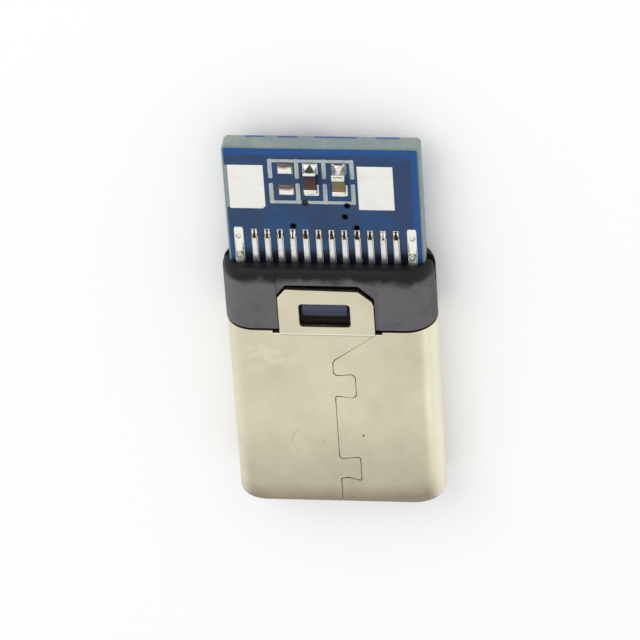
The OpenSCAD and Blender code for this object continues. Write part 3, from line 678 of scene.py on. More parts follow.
def make_housing(look, shell):
    """Moulded housing: the oval body and its spigot, less the steps, tab pockets, board slot, side slits and
    room for the tails, with a ramped lug in each tab's window and a line of flash at the right. The flash's
    height follows a product of a sine and a cosine along the edge."""
    height = shell.height / MM
    low, high = shell.rim / MM, HOUSING_Y
    gap = look.clearance / MM
    spigot_height = height - 2 * shell.sheet / MM - 2 * gap
    spigot_flat = (shell.width - shell.height) / MM
    spine, across, up = oval_columns(spigot_flat, [], [], 20)
    stations = np.array([HOUSING_LOW[1], low + 0.1])[:, None]
    x = np.broadcast_to(spine + spigot_height / 2 * across, (2, spine.size))
    z = np.broadcast_to(spigot_height / 2 * up, (2, spine.size))
    spigot = tube(np.stack([x, np.broadcast_to(stations, x.shape), z], -1))
    body = piece("moulded_housing", [housing_body(look, height, low + look.rim_gap / MM, high)])
    face = height / 2
    floor = face - shell.sheet / MM - 0.05
    half = shell.tab_width / MM / 2
    end = shell.tab_end / MM
    shift = shell.tab_shift / MM

    def pocket(move, left_cut, right_cut):
        wide = half + gap
        corners = np.array([[-wide, low - 0.2], [wide, low - 0.2], [wide, end - right_cut[1] + 0.08],
                            [half - right_cut[0], end + 0.16], [-half + left_cut[0], end + 0.16],
                            [-wide, end - left_cut[1] + 0.08]]) + [move, 0]
        outline = rounded(corners, [0.02, 0.02, 0.08, 0.08, 0.08, 0.08], 3, closed=True)
        return prism(outline, floor, face + 0.5)

    def step():
        width = look.step_width / MM / 2
        return box([-width, low - 0.2, face - look.step_depth / MM], [width, high + 0.2, face + 0.5])

    tail_room = LAND_TOP + 0.142
    slot_high = BOARD_TOP + gap
    slit = look.slit / MM / 2
    board_half = BOARD_HIGH[0] + gap
    cutters = [step(), turned(step()), pocket(shift, (0.32, 0.38), (0.58, 0.5)),
               turned(pocket(0.0, (0.45, 0.42), (0.45, 0.42))),
               box([-board_half, BOARD_LOW[1] - gap, -slot_high], [board_half, high + 0.2, slot_high]),
               box([-3.13, low - 0.2, -tail_room], [3.13, high + 0.3, tail_room])]
    for side in (-1, 1):
        left, right = sorted((side * 3.18, side * 3.54))
        cutters.append(box([left, low - 0.1, -0.13], [right, high + 0.25, BOARD_TOP + 0.23]))
        outer, inner = side * 5.0, side * 3.0
        cutters.append(box([min(outer, inner), high - look.slit_length / MM, -slit],
                           [max(outer, inner), high + 0.22, slit]))
    cut(body, [piece("cutter", [cutter]) for cutter in cutters])
    lug_half = look.lug_width / MM / 2
    stop = low + (shell.window_back + shell.window_length / 2) / MM - gap
    ramp = np.array([[low + 0.42, floor - 0.05], [low + 0.42, floor + 0.02], [low + 0.94, face - 0.05],
                     [stop, face - 0.05], [stop, floor - 0.05]])
    profile = rounded(ramp, [0.005, 0.01, 0.06, 0.03, 0.005], 4, closed=True)

    def lug(move):
        inset = [(-lug_half, 0.03), (-lug_half + 0.03, 0.0), (lug_half - 0.03, 0.0), (lug_half, 0.03)]
        middle = profile.mean(0)
        rings = [np.column_stack([np.full(len(profile), move + x), middle + (profile - middle) * (1 - inward)])
                 for x, inward in inset]
        return tube(np.stack(rings))

    burr_y = np.linspace(low + 0.15, high - 0.62, 28)
    size = look.flash / MM * (0.4 + 0.6 * np.abs(np.sin(burr_y * 9.0) * np.cos(burr_y * 4.3)))
    burr = np.column_stack([np.full(28, look.width / MM / 2 - 0.012), burr_y, np.full(28, 0.02)])
    ring = np.array([[-0.012, 0.02], [-0.012, -0.02], [0.008, -0.008], [0.008, 0.008]])
    burr_section = ring[None] * (size / 0.02)[:, None, None]
    extras = piece("housing_extras", [spigot, lug(2 * shift), turned(lug(0.0)),
                                      sweep(burr, np.array([1, 0, 0]), np.array([0, 0, 1]), burr_section)])
    return join(body, extras)


def housing_plastic(look, shell):
    """Black moulded plastic: rubbed grey and mottled outside, which is where the distance from the oval's
    flat middle nears its radius, and darker on the rounded rear edge and in the slots, with fine orange-peel
    grain and pale handling specks."""
    face = shell.height / MM / 2
    rim = shell.rim / MM

    def varied(place, x, y, z):
        mottle = place.noise(1.6, 6.0, 0.65)
        grain = place.noise(22.0, 3.0, 0.6)
        border = y + place.noise(0.9, 4.0, 0.6) * 0.8 + place.noise(3.2, 4.0, 0.7) * 0.3 - 0.55
        rear = border.rise(HOUSING_Y - 0.74, HOUSING_Y - 0.34)
        aside = larger(abs(x) - (look.width / MM / 2 - face), 0.0)
        outer = (aside * aside + z * z).math("SQRT").rise(face - 0.11, face - 0.06)
        broad = outer * (0.4 + abs(z).rise(0.2, 0.9) * 0.6) * (1 - rear)
        rubbed = (broad * (0.42 + mottle * 1.1)).clamp()
        base = rubbed.mix(tuple(look.rear), tuple(look.face))
        dust = place.noise(5.0, 5.0, 0.8).rise(0.62, 0.74) * 0.5 * broad
        base = dust.mix(base, linear(150, 148, 150))
        # Painted light and shade on each lug in the tab's window: its near end painted black as shade and the
        # rest painted blue-grey as a highlight, with a thin darker line across it.
        lug = x.band(2 * shell.tab_shift / MM, look.lug_width / MM / 2, 0.05) * y.band(rim + 0.73, 0.5, 0.04)
        crest = y.rise(rim + 0.56, rim + 0.66) * (1 - y.band(rim + 0.86, 0.03, 0.03) * 0.4)
        base = (lug * 0.92).mix(base, crest.mix(linear(10, 6, 5), linear(58, 64, 88)))
        rough = 0.42 + mottle * 0.16
        return {"Base Color": base, "Roughness": rough, "Normal": bump(grain + mottle * 0.8, 0.006)}

    return finish("housing_plastic", {"Specular IOR Level": 0.25}, varied)


class PLUG_OT_housing(bpy.types.Operator):
    """Make the moulded housing behind the shell"""

    bl_idname = "plug.housing"
    bl_label = "Moulded housing"

    def execute(self, context):
        look, shell = context.scene.plug_housing, context.scene.plug_shell
        dress(make_housing(look, shell), housing_plastic(look, shell), "housing_plastic", "rear_housing")
        return {"FINISHED"}


def moulding_plastic(look):
    """Black glass-filled plastic of the inner mouldings, with short pale fibres and a fine grain."""

    def varied(place, x, y, z):
        grain = place.noise(14.0, 3.0, 0.6)
        fibres = place.noise(9.0, 1.0, 0.4, (1.0, 0.15, 1.0)).rise(0.62, 0.7) * 0.3
        base = (fibres + grain * 0.2).clamp().mix(tuple(look.inner), linear(70, 70, 74))
        return {"Base Color": base, "Roughness": 0.38 + grain * 0.2, "Normal": bump(grain, 0.004)}

    return finish("moulding_plastic", {}, varied)


def film_finish():
    """Amber film with slow waves of tone and sheen."""

    def varied(place, x, y, z):
        waves = place.noise(1.2, 2.0, 0.5)
        base = waves.mix(linear(196, 132, 40), linear(160, 96, 24))
        return {"Base Color": base, "Roughness": 0.12 + waves * 0.12, "Normal": bump(waves, 0.01)}

    return finish("amber_film", {"Alpha": 0.85}, varied)


class PLUG_OT_mouldings(bpy.types.Operator):
    """Finish the insulator, the contact blocks and the films"""

    bl_idname = "plug.mouldings"
    bl_label = "Inner mouldings"

    def execute(self, context):
        repaint(moulding_plastic(context.scene.plug_housing),
                "front_insulator", "upper_contact_block", "lower_contact_block")
        repaint(film_finish(), "upper_film", "lower_film")
        return {"FINISHED"}


def dimple(x, y, centre, radius, soft):
    """Shade of a round dimple at both sides of the plug: a soft ring, deepest on its side towards the housing
    and fading away round to the other side."""
    across, along = abs(x) - centre[0], y - centre[1]
    ring = apart(abs(x), y, centre).math("SQRT").band(radius, 0.008, soft)
    return ring * (1 - (along - across * 0.5).rise(-0.6 * radius, 1.2 * radius) * 0.75)


def steel_finish(look):
    """Bright blanked steel: rolling lines along the plug, and a tinned tone and the painted shade of a dimple
    on each leg.
    """

    def varied(place, x, y, z):
        lines = place.noise(16.0, 2.0, 0.6, (1.0, 0.08, 1.0))
        spots = place.noise(4.0, 3.0, 0.6)
        leg = y.rise(HOUSING_Y - 0.3, HOUSING_Y - 0.1)
        tone = (lines * 0.5 + spots * 0.3 - 0.2).clamp()
        base = tone.mix(tuple(look.steel), linear(148, 144, 130))
        base = (leg * 0.8).mix(base, linear(206, 212, 188))
        # Painted shade of a dimple on each leg.
        ring = dimple(x, y, (LEG_X, HOUSING_Y + 0.33), 0.1, 0.05)
        base = (ring * (0.35 + spots)).clamp().mix(base, linear(72, 76, 64))
        height = lines + spots * 0.5
        return {"Base Color": base, "Roughness": 0.26 + lines * 0.16, "Normal": bump(height, 0.003)}

    return finish("spring_steel", {"Metallic": 1.0}, varied)


class PLUG_OT_springs(bpy.types.Operator):
    """Finish the latch plate and the ground springs"""

    bl_idname = "plug.springs"
    bl_label = "Latch plate and springs"

    def execute(self, context):
        repaint(steel_finish(context.scene.plug_metal),
                "latch_plate", "upper_ground_spring", "lower_ground_spring")
        return {"FINISHED"}


def contact_path(look):
    """Line of a contact in y and z, from its tip over the crown and through its block to the tail's end."""
    low, high = span("upper_contact_1")
    half = look.contact_thickness / MM / 2
    tail = BOARD_TOP + half
    crown_y, crown_z = low[1] + 0.738, low[2] + half + 0.025
    corners = [[crown_y - 0.72, crown_z + half + 0.21], [crown_y - 0.5, crown_z + half + 0.14],
               [crown_y, crown_z - 0.03], [4.9, tail], [high[1], tail]]
    return rounded(corners, [0, 0.1, 0.35, 0.8, 0], 8)


def make_contact(look, name, x, turn):
    """Contact blanked from strip and bent: a rounded rectangle carried along its line, drawn in a little at
    both ends so that the cut edges are soft."""
    line = contact_path(look)
    extra = np.linspace(line[-2], line[-1], 8)[1:-1]
    line = np.concatenate([line[:-1], extra, line[-1:]])
    normal = path_normals(line)
    ring = rectangle(look.contact_width / MM, look.contact_thickness / MM, 0.025, 2)
    reach = np.concatenate([[0], np.cumsum(np.linalg.norm(np.diff(line, axis=0), axis=1))])
    ends = np.minimum(reach, reach[-1] - reach)
    section = ring[None] * (1 - 0.25 * np.exp(-ends / 0.012))[:, None, None]
    path = np.column_stack([np.full(len(line), x), line])
    up = np.column_stack([np.zeros(len(line)), normal])
    solid = sweep(path, np.array([1, 0, 0]), up, section)
    return piece(name, [turned(solid) if turn else solid])


def contact_metal(look):
    """Plated contact: gold at the crown and tin on the tail, with drawn lines along it, dull spots, a warm end
    with a brass-coloured cut, and painted shade where it enters the housing."""

    def varied(place, x, y, z):
        lines = place.noise(22.0, 2.0, 0.6, (1.0, 0.06, 1.0))
        spots = place.noise(7.0, 3.0, 0.6)
        gold = 1 - y.rise(2.7, 3.1)
        tin = (spots * 0.6 + lines * 0.4 - 0.35).clamp().mix(tuple(look.contact), linear(168, 164, 150))
        base = gold.mix(tin, tuple(look.contact_gold))
        warm = y.rise(TAIL_END - 0.22, TAIL_END - 0.04) * 0.5
        base = warm.mix(base, linear(226, 206, 140))
        sheared = y.rise(TAIL_END - 0.03, TAIL_END - 0.015)
        base = sheared.mix(base, linear(150, 92, 40))
        # Painted shade: the tail darker where it enters the housing.
        shade = (1 - y.rise(HOUSING_Y - 0.05, HOUSING_Y + 0.4)) * y.rise(3.2, 3.6) * 0.55
        base = shade.mix(base, linear(96, 98, 110))
        return {"Base Color": base, "Metallic": 1 - gold * 0.45, "Roughness": 0.24 + spots * 0.2,
                "Normal": bump(lines + spots, 0.004)}

    return finish("contact_metal", {}, varied)


class PLUG_OT_contacts(bpy.types.Operator):
    """Make the twenty-four contacts"""

    bl_idname = "plug.contacts"
    bl_label = "Contacts"

    def execute(self, context):
        look = context.scene.plug_metal
        metal = contact_metal(look)
        for number in range(1, 13):
            for row, turn in (("upper", False), ("lower", True)):
                node = f"{row}_contact_{number}"
                low, high = span(node)
                x = (low[0] + high[0]) / 2
                made = make_contact(look, f"{row}_spring_contact_{number}", -x if turn else x, turn)
                dress(made, metal, "contact_metal", node)
        return {"FINISHED"}


END_STRETCHES = ((-2.58, 0.34), (-1.33, 0.33), (0.52, 0.78), (2.55, 0.42))
VIAS = ((-0.69, 13.62), (0.93, 13.51), (0.82, 13.01), (-1.21, 12.55), (1.24, 12.51))


def near_vias(x, y):
    """1 over each plated hole and a border round it, where dark shade is painted, 0 elsewhere: a disc for each,
    by squared distance.
    """
    drilled = 0.0
    for via in VIAS:
        drilled = drilled + (1 - apart(x, y, via).rise(0.11 ** 2, 0.17 ** 2))
    return drilled.clamp()


def board_finish(look):
    """Board by its own layers: cloudy blue mask above and below, brighter along its edges, with painted shade
    making it nearly black among the tails and over the plated holes; pale woven glass with cooler and warmer
    fibres on the sides; and stretches of the back's mask run over the end face's lower edge."""
    skin = BOARD_TOP - 0.06
    half = BOARD_HIGH[0]
    end = BOARD_HIGH[1]

    def varied(place, x, y, z):
        masked = abs(z).rise(skin, skin + 0.01)
        weave = place.noise(5.0, 3.0, 0.6, (1.0, 1.0, 5.0))
        fibres = place.noise(14.0, 2.0, 0.5, (0.35, 0.35, 6.0))
        cool = (weave * 1.3 - 0.35 + fibres * 0.3).clamp()
        bare = cool.mix(tuple(look.laminate), tuple(look.laminate_cool))
        warm = place.noise(1.1, 4.0, 0.6).rise(0.42, 0.72) * 0.38
        bare = warm.mix(bare, linear(180, 182, 150))
        bled = 1 - (z + weave * 0.16).rise(0.22 - BOARD_TOP, 0.32 - BOARD_TOP)
        bled = bled * y.rise(end - 0.05, end - 0.02)
        stretch = 0.0
        for middle, half_long in END_STRETCHES:
            stretch = stretch + (x + weave * 0.2 - 0.1).band(middle, half_long, 0.08)
        bare = (bled * stretch.clamp() * 0.9).mix(bare, linear(54, 94, 162))
        cloud = place.noise(0.8, 3.0, 0.5)
        patches = place.noise(0.55, 3.0, 0.55).rise(0.4, 0.66)
        track = larger(y.band(HOUSING_Y + 2.12, 0.05, 0.04) * x.band(0.0, 3.0, 0.1),
                       x.band(-2.05, 0.06, 0.04) * y.rise(13.2, 13.3))
        slate = cloud.mix(tuple(look.mask), tuple(look.mask_bare))
        mask = (patches * 0.75 - track * 0.4).clamp().mix(slate, tuple(look.mask_blue))
        rim = larger(x.rise(half - 0.42, half - 0.22), y.rise(end - 0.42, end - 0.22))
        rim = larger(rim, (0 - x).rise(half - 0.16, half - 0.06))
        mask = (rim * (0.6 + cloud * 0.5)).clamp().mix(mask, tuple(look.mask_edge))
        # Painted shade: the mask nearly black among the tails near the housing.
        between = (1 - (y + cloud * 0.3).rise(HOUSING_Y + 0.42, HOUSING_Y + 0.8)) * z.rise(0.0, 0.1)
        between = between * x.band(0.0, 3.45, 0.1)
        mask = (between * 0.92).mix(mask, linear(14, 16, 32))
        # Painted shade: nearly black over the plated holes and a border round them.
        base = near_vias(x, y).mix(masked.mix(bare, mask), linear(5, 9, 18))
        peel = place.noise(2.2, 2.0, 0.5)
        rough = masked * -0.36 + 0.6 + cloud * 0.08
        height = peel * masked + fibres * (1 - masked) - track * 0.5
        return {"Base Color": base, "Roughness": rough, "Normal": bump(height, 0.0035)}

    return finish("board_layers", {"Specular IOR Level": 0.3}, varied)


class PLUG_OT_board(bpy.types.Operator):
    """Finish the board's laminate and mask"""

    bl_idname = "plug.board"
    bl_label = "Board"

    def execute(self, context):
        repaint(board_finish(context.scene.plug_board), "board")
        return {"FINISHED"}


PRINT_X = (-1.96, -0.93, 0.12, 1.20)
PRINT_TOP = 15.52
PRINT_UPPER = 14.80
PRINT_LOWER = 14.42
PRINT_BOTTOM = 13.65


def make_print(look):
    """Printed frame around the chip lands: each stroke is a flat bar with rounded ends."""
    half = look.print_width / MM / 2
    low, high = BOARD_TOP - 0.002, BOARD_TOP + look.print_height / MM

    def bar(start, end, half=half, high=high):
        corners = np.array([[start[0] - half, start[1] - half], [end[0] + half, start[1] - half],
                            [end[0] + half, end[1] + half], [start[0] - half, end[1] + half]])
        outline = rounded(corners, half * 0.7, 4, closed=True)
        return cushion(outline, [(0.0, low), (0.0, high - 0.004), (0.03, high)])

    strokes = [bar((PRINT_X[0], y), (PRINT_X[-1], y), 0.8 * half, high + 0.002)
               for y in (PRINT_TOP, PRINT_BOTTOM)]
    for x in PRINT_X:
        strokes += [bar((x, PRINT_UPPER), (x, PRINT_TOP)), bar((x, PRINT_BOTTOM), (x, PRINT_LOWER))]
    return piece("board_print", strokes)


def print_ink(look):
    """Pale ink, bluer where it is thin, and painted dark over the plated holes as shade."""

    def varied(place, x, y, z):
        thin = place.noise(4.0, 3.0, 0.65).rise(0.42, 0.72) * 0.45
        base = thin.mix(tuple(look.print), linear(116, 134, 152))
        # Painted shade: the ink nearly black over the plated holes.
        base = near_vias(x, y).mix(base, linear(5, 9, 18))
        return {"Base Color": base, "Roughness": 0.5 + thin * 0.2, "Normal": bump(thin, 0.004)}

    return finish("print_ink", {}, varied)


class PLUG_OT_print(bpy.types.Operator):
    """Make the printed frame on the board"""

    bl_idname = "plug.print"
    bl_label = "Board print"

    def execute(self, context):
        look = context.scene.plug_board
        dress(make_print(look), print_ink(look), "board")
        return {"FINISHED"}


CHIP_X = (-1.38, (RESISTOR_LOW[0] + RESISTOR_HIGH[0]) / 2, (CAPACITOR_LOW[0] + CAPACITOR_HIGH[0]) / 2)
CHIP_Y = (RESISTOR_LOW[1] + RESISTOR_HIGH[1]) / 2
CHIP_LAND = (0.58, 0.49)
CHIP_LAND_STEP = 0.48
TAIL_X = [(index - 5.5) * 0.5 for index in range(12)]
BACK_LAND_X = (-3.2, -1.95, -0.64, 1.72, 3.2)
WIRE_LAND_Y = (HOUSING_Y + 2.38, HOUSING_Y + 4.35)


def make_lands():
    """Tinned lands of both faces: flat outlines with a rolled edge and a crowned top."""
    skin = BOARD_TOP - 0.065

    def land(x0, x1, y0, y1, top, crown, corner=0.03, clip=0.0):
        outline = np.array([[x0, y0], [x1 - clip, y0], [x1, y0 + clip], [x1, y1], [x0, y1]])
        if not clip:
            outline = outline[[0, 2, 3, 4]]
        outline = rounded(outline, corner, 4, closed=True)
        return cushion(outline, [(0.0, skin), (0.0, top - crown), (0.02, top - 0.4 * crown), (0.08, top)])

    left = land(-3.61, -2.23, *WIRE_LAND_Y, LAND_TOP, 0.012, 0.03, 0.11)
    right = land(1.385, 2.765, *WIRE_LAND_Y, LAND_TOP, 0.012)
    front = [left, right]
    width, depth = CHIP_LAND
    for x in CHIP_X:
        for side in (-1, 1):
            y = CHIP_Y + side * CHIP_LAND_STEP
            front.append(land(x - width / 2, x + width / 2, y - depth / 2, y + depth / 2, LAND_TOP, 0.012))
    for side in (-1, 1):
        x = side * LEG_X
        front.append(land(x - 0.18, x + 0.18, HOUSING_Y - 0.2, HOUSING_Y + 1.52, BOARD_TOP, 0.004, 0.12))
    tails = [land(x - 0.12, x + 0.12, HOUSING_Y - 0.2, HOUSING_Y + 1.44, BOARD_TOP, 0.004, 0.06)
             for x in TAIL_X]
    back = [land(x - 0.35, x + 0.35, 14.52, 16.02, LAND_TOP, 0.012) for x in BACK_LAND_X]
    return piece("tinned_lands", front + tails + [turned(solid) for solid in tails + back])


def tin_finish(look):
    """Bright tinned copper: nearly white, faintly dimpled and dulled, with brown flux at the tail lands' ends
    and behind the empty lands' mounds, and dull metal beside the capacitor's solder."""

    def varied(place, x, y, z):
        dull = place.noise(2.4, 4.0, 0.6)
        fine = place.noise(18.0, 2.0, 0.6)
        base = (dull * 0.8 - 0.25).clamp().mix(tuple(look.tin), linear(214, 212, 202))
        toe = y.band(TAIL_END + 0.2, 0.16, 0.1) * abs(x).band(0.0, TAIL_SPAN, 0.05) * z.rise(0.0, 0.1)
        base = (toe * (0.35 + fine)).clamp().mix(base, tuple(look.flux))
        bare = x.band(CHIP_X[2], 0.32, 0.02) * y.band(CHIP_Y + CHIP_LAND_STEP, 0.3, 0.02)
        base = (bare * 0.8).mix(base, linear(104, 102, 92))
        stained = x.band(CHIP_X[0], 0.32, 0.02)
        stained = stained * (y.rise(CHIP_Y + CHIP_LAND_STEP + 0.1, CHIP_Y + CHIP_LAND_STEP + 0.18)
                             + y.band(CHIP_Y - CHIP_LAND_STEP + 0.2, 0.06, 0.04))
        base = (stained * 0.85).clamp().mix(base, tuple(look.flux))
        return {"Base Color": base, "Roughness": 0.42 + dull * 0.2, "Normal": bump(fine * 0.5 + dull, 0.004)}

    return finish("tinned_copper", {"Metallic": 0.55}, varied)


class PLUG_OT_lands(bpy.types.Operator):
    """Make the tinned lands of both faces"""

    bl_idname = "plug.lands"
    bl_label = "Tinned lands"

    def execute(self, context):
        dress(make_lands(), tin_finish(context.scene.plug_metal), "solder", "board_lands")
        return {"FINISHED"}


def fillet(x, y, way, reach, height, wide, waist, base):
    """Solder fillet that runs down from a wall at y: at share t along it the height is (1 - t) squared and the
    width narrows by a sine of t's square root to the waist and widens again; its back is round across."""
    t = np.linspace(0, 1, 14)[:, None]
    across = np.linspace(-1, 1, 13)[None]
    half = wide / 2 * (1 - waist * np.sin(np.pi * np.sqrt(t)))
    rise = 0.012 + (height - 0.012) * (1 - t) ** 2
    crown = rise * np.sqrt(np.clip(1 - 0.92 * across ** 2, 0, 1))
    top = np.stack([half * across, crown], -1)
    under = np.stack([half * across[:, ::-1], np.full((14, 13), -0.003)], -1)
    section = np.concatenate([top, under], 1)
    path = np.column_stack([np.full(14, x), y + way * reach * t[:, 0], np.full(14, base)])
    return sweep(path, np.array([1, 0, 0]), np.array([0, 0, 1]), section)


def make_solder():
    """Solder of the board: waisted fillets at the chips' ends, low mounds on the empty lands, and narrow
    fillets at the tails' ends and at the two legs."""
    ends = {1: RESISTOR_HIGH[2] - LAND_TOP, 2: CAPACITOR_HIGH[2] - LAND_TOP}
    chip_half = (RESISTOR_HIGH[1] - RESISTOR_LOW[1]) / 2
    reach = CHIP_LAND_STEP + CHIP_LAND[1] / 2 - chip_half
    waists = {1: 0.05, 2: 0.42}
    solids = [fillet(CHIP_X[chip], CHIP_Y + way * chip_half, way, reach, 0.85 * height, 0.5, waists[chip],
                     LAND_TOP)
              for chip, height in ends.items() for way in (-1, 1)]
    for side in (-1, 1):
        outline = rectangle(CHIP_LAND[0] - 0.02, CHIP_LAND[1] - 0.02, 0.08, 5)
        outline = outline + [CHIP_X[0], CHIP_Y + side * CHIP_LAND_STEP]
        turn = np.linspace(0, 0.5 * np.pi, 9)[:-1]
        levels = [(1 - np.cos(a), LAND_TOP - 0.002 + 0.085 * np.sin(a) ** 0.8) for a in turn]
        solids.append(cushion(outline, levels))
    toes = [fillet(x, HOUSING_Y + 1.1, 1, 0.34, 0.096, 0.22, 0.12, BOARD_TOP) for x in TAIL_X]
    legs = [fillet(side * LEG_X, HOUSING_Y + 0.48, 1, 1.04, 0.12, 0.3, 0.0, BOARD_TOP) for side in (-1, 1)]
    return piece("solder", solids + toes + legs + [turned(toe) for toe in toes], 50.0)


def solder_finish(look):
    """Bright solder with a slightly orange-peel skin. Brown flux lies at the far edge of each mound and
    fillet, the resistor's fillet has a dark hollow that narrows away from the chip, and each tail's toe has a
    dark hollow between two bright sides. The tails stand half a millimetre apart, so the distance from the
    nearest one is a half of how far the fraction of 2 x is from a half. Each outer land's solder has the
    painted shade of a small dimple."""
    chip_end = RESISTOR_HIGH[1]
    run = CHIP_Y + CHIP_LAND_STEP + CHIP_LAND[1] / 2 - chip_end

    def varied(place, x, y, z):
        skin = place.noise(5.0, 3.0, 0.6)
        fine = place.noise(20.0, 2.0, 0.5)
        drift = skin * 0.1 - 0.05
        base = (skin * 0.8 - 0.3).clamp().mix(tuple(look.solder), linear(206, 198, 176))
        along = (y - chip_end) / run
        on_resistor, on_capacitor = x.band(CHIP_X[1], 0.28, 0.01), x.band(CHIP_X[2], 0.28, 0.01)
        on_mounds = x.band(CHIP_X[0], 0.3, 0.01)
        hollow = (0.2 - along * 0.22 - abs(x - CHIP_X[1])).rise(-0.02, 0.02)
        hollow = hollow * along.rise(-0.2, -0.1) * on_resistor
        lip = along.rise(-0.3, -0.1) * (1 - along.rise(-0.02, 0.1)) * on_resistor
        base = (hollow * 0.95).mix((lip * 0.7).mix(base, linear(186, 138, 112)), linear(44, 42, 48))
        brown = (along + drift * 2.0).rise(0.62, 0.95) * (on_resistor * 0.5 + on_capacitor * 0.95)
        brown = brown + along.rise(0.1, 0.7) * on_capacitor * 0.3
        brown = brown * (1 - abs(x - CHIP_X[2] - drift).band(0.2, 0.015, 0.02))
        far = (y + drift).rise(CHIP_Y + CHIP_LAND_STEP - 0.02, CHIP_Y + CHIP_LAND_STEP + 0.15)
        near = (y + drift).rise(CHIP_Y - CHIP_LAND_STEP - 0.06, CHIP_Y - CHIP_LAND_STEP + 0.12)
        near = near * (1 - y.rise(CHIP_Y, CHIP_Y + 0.05))
        brown = (brown + (far + near) * on_mounds).clamp()
        base = (brown * 0.92).mix(base, tuple(look.flux))
        beside = abs((x * 2.0).math("FRACT") - 0.5) * 0.5
        toe = y.band(TAIL_END + 0.15, 0.15, 0.04) * abs(x).band(0.0, TAIL_SPAN, 0.05)
        sway = place.noise(1.7, 1.0, 0.5) * 0.14 - 0.07
        pool = toe * (0.062 + drift + sway - beside - (y - TAIL_END) * 0.1).rise(-0.014, 0.014)
        edge = toe * (y + drift).rise(TAIL_END + 0.2, TAIL_END + 0.3) * 0.5
        base = (pool + edge).clamp().mix(base, linear(48, 34, 30))
        # Painted shade of a small dimple in each outer land's solder.
        ring = dimple(x, y, (LEG_X + 0.02, TAIL_END + 0.01), 0.08, 0.045)
        base = (ring * (0.25 + skin * 0.8)).clamp().mix(base, linear(80, 76, 62))
        return {"Base Color": base, "Roughness": 0.2 + skin * 0.16, "Normal": bump(skin + fine * 0.4, 0.008)}

    return finish("bright_solder", {"Metallic": 1.0}, varied)


class PLUG_OT_solder(bpy.types.Operator):
    """Make the solder fillets and mounds"""

    bl_idname = "plug.solder"
    bl_label = "Solder"

    def execute(self, context):
        dress(make_solder(), solder_finish(context.scene.plug_metal), "solder", "solder_joints")
        return {"FINISHED"}


def rounded_block(low, high, radius):
    """Block with rounded edges: rings of a rounded rectangle along y, drawn in by a quarter circle at both
    ends."""
    low, high = np.asarray(low, float), np.asarray(high, float)
    turn = np.linspace(0, 0.5 * np.pi, 5)
    inset = radius * (1 - np.sin(turn))
    station = radius * (1 - np.cos(turn))
    insets = np.concatenate([inset, inset[::-1]])
    along = np.concatenate([low[1] + station, (high[1] - station)[::-1]])
    middle, size = (low + high) / 2, high - low
    rings = []
    for drawn, y in zip(insets, along):
        ring = rectangle(size[0] - 2 * drawn, size[2] - 2 * drawn, radius - drawn + 0.001, 4)
        rings.append(np.column_stack([middle[0] + ring[:, 0], np.full(len(ring), y), middle[2] + ring[:, 1]]))
    return tube(np.stack(rings))


def make_chip(node, low, high, caps_long, wrap, body_material, cap_material):
    """Chip part: a rounded ceramic body between two end caps that wrap it, with their lengths given for the
    near end and the far end."""
    body = piece(node + "_chip", [rounded_block(low + wrap, high - wrap, 0.02)])
    caps = piece(node + "_caps", [
        rounded_block(low, [high[0], low[1] + caps_long[0], high[2]], 0.035),
        rounded_block([low[0], high[1] - caps_long[1], low[2]], high, 0.035)])
    dress(body, body_material, node + "_body", node)
    dress(caps, cap_material, "solder")


def ceramic(name, tone, speck, far_tone, near_tone):
    """Fired ceramic: cloudy tone with small specks and a fine grain, with its own tones at its far end and, by
    flux, at its near end."""

    def varied(place, x, y, z):
        cloud = place.noise(4.0, 3.0, 0.6)
        specks = place.noise(16.0, 2.0, 0.6).rise(0.6, 0.7) * 0.4
        base = (cloud * 0.4 + specks).clamp().mix(tuple(tone), speck)
        along = y + cloud * 0.16 - 0.08
        base = (along.rise(CHIP_Y + 0.02, CHIP_Y + 0.26) * 0.8).mix(base, far_tone)
        base = ((1 - along.rise(CHIP_Y - 0.3, CHIP_Y - 0.08)) * 0.85).mix(base, near_tone)
        return {"Base Color": base, "Roughness": 0.36 + cloud * 0.2, "Normal": bump(cloud + specks, 0.006)}

    return finish(name, {"Specular IOR Level": 0.3}, varied)


def cap_finish(look):
    """Tinned end caps with a soft uneven skin, and a painted shadow line across the capacitor's far cap."""

    def varied(place, x, y, z):
        skin = place.noise(6.0, 3.0, 0.6)
        base = (skin * 0.9 - 0.3).clamp().mix(tuple(look.cap), linear(168, 164, 142))
        # Painted shadow: a dark line across the capacitor's far cap.
        line = (y + skin * 0.04).band(CAPACITOR_HIGH[1] - 0.05, 0.018, 0.02) * x.band(CHIP_X[2], 0.17, 0.04)
        base = (line * 0.7).mix(base, linear(84, 80, 84))
        return {"Base Color": base, "Roughness": 0.28 + skin * 0.2, "Normal": bump(skin, 0.012)}

    return finish("cap_tin", {"Metallic": 0.9}, varied)


class PLUG_OT_chips(bpy.types.Operator):
    """Make the resistor and the capacitor"""

    bl_idname = "plug.chips"
    bl_label = "Chip parts"

    def execute(self, context):
        look = context.scene.plug_chips
        caps = cap_finish(look)
        make_chip("resistor", RESISTOR_LOW, RESISTOR_HIGH, (0.2, 0.12), 0.015,
                  ceramic("resistor_body", look.resistor, linear(90, 66, 50), linear(44, 34, 48),
                          linear(92, 72, 26)), caps)
        make_chip("capacitor", CAPACITOR_LOW, CAPACITOR_HIGH, (0.2, 0.26), 0.02,
                  ceramic("capacitor_body", look.capacitor, linear(96, 86, 60), linear(104, 104, 74),
                          linear(150, 104, 74)), caps)
        return {"FINISHED"}


VIEW_RIGHT = np.array([0.991, -0.0584, -0.1204])
VIEW_UP = np.array([-0.0196, 0.8266, -0.5624])
VIEW_BACK = np.array([0.1323, 0.5597, 0.8181])
VIEW_MIDDLE = np.array([0.0, 7.5, 0.0])
VIEW_OFFSET = (-0.515, 0.322)


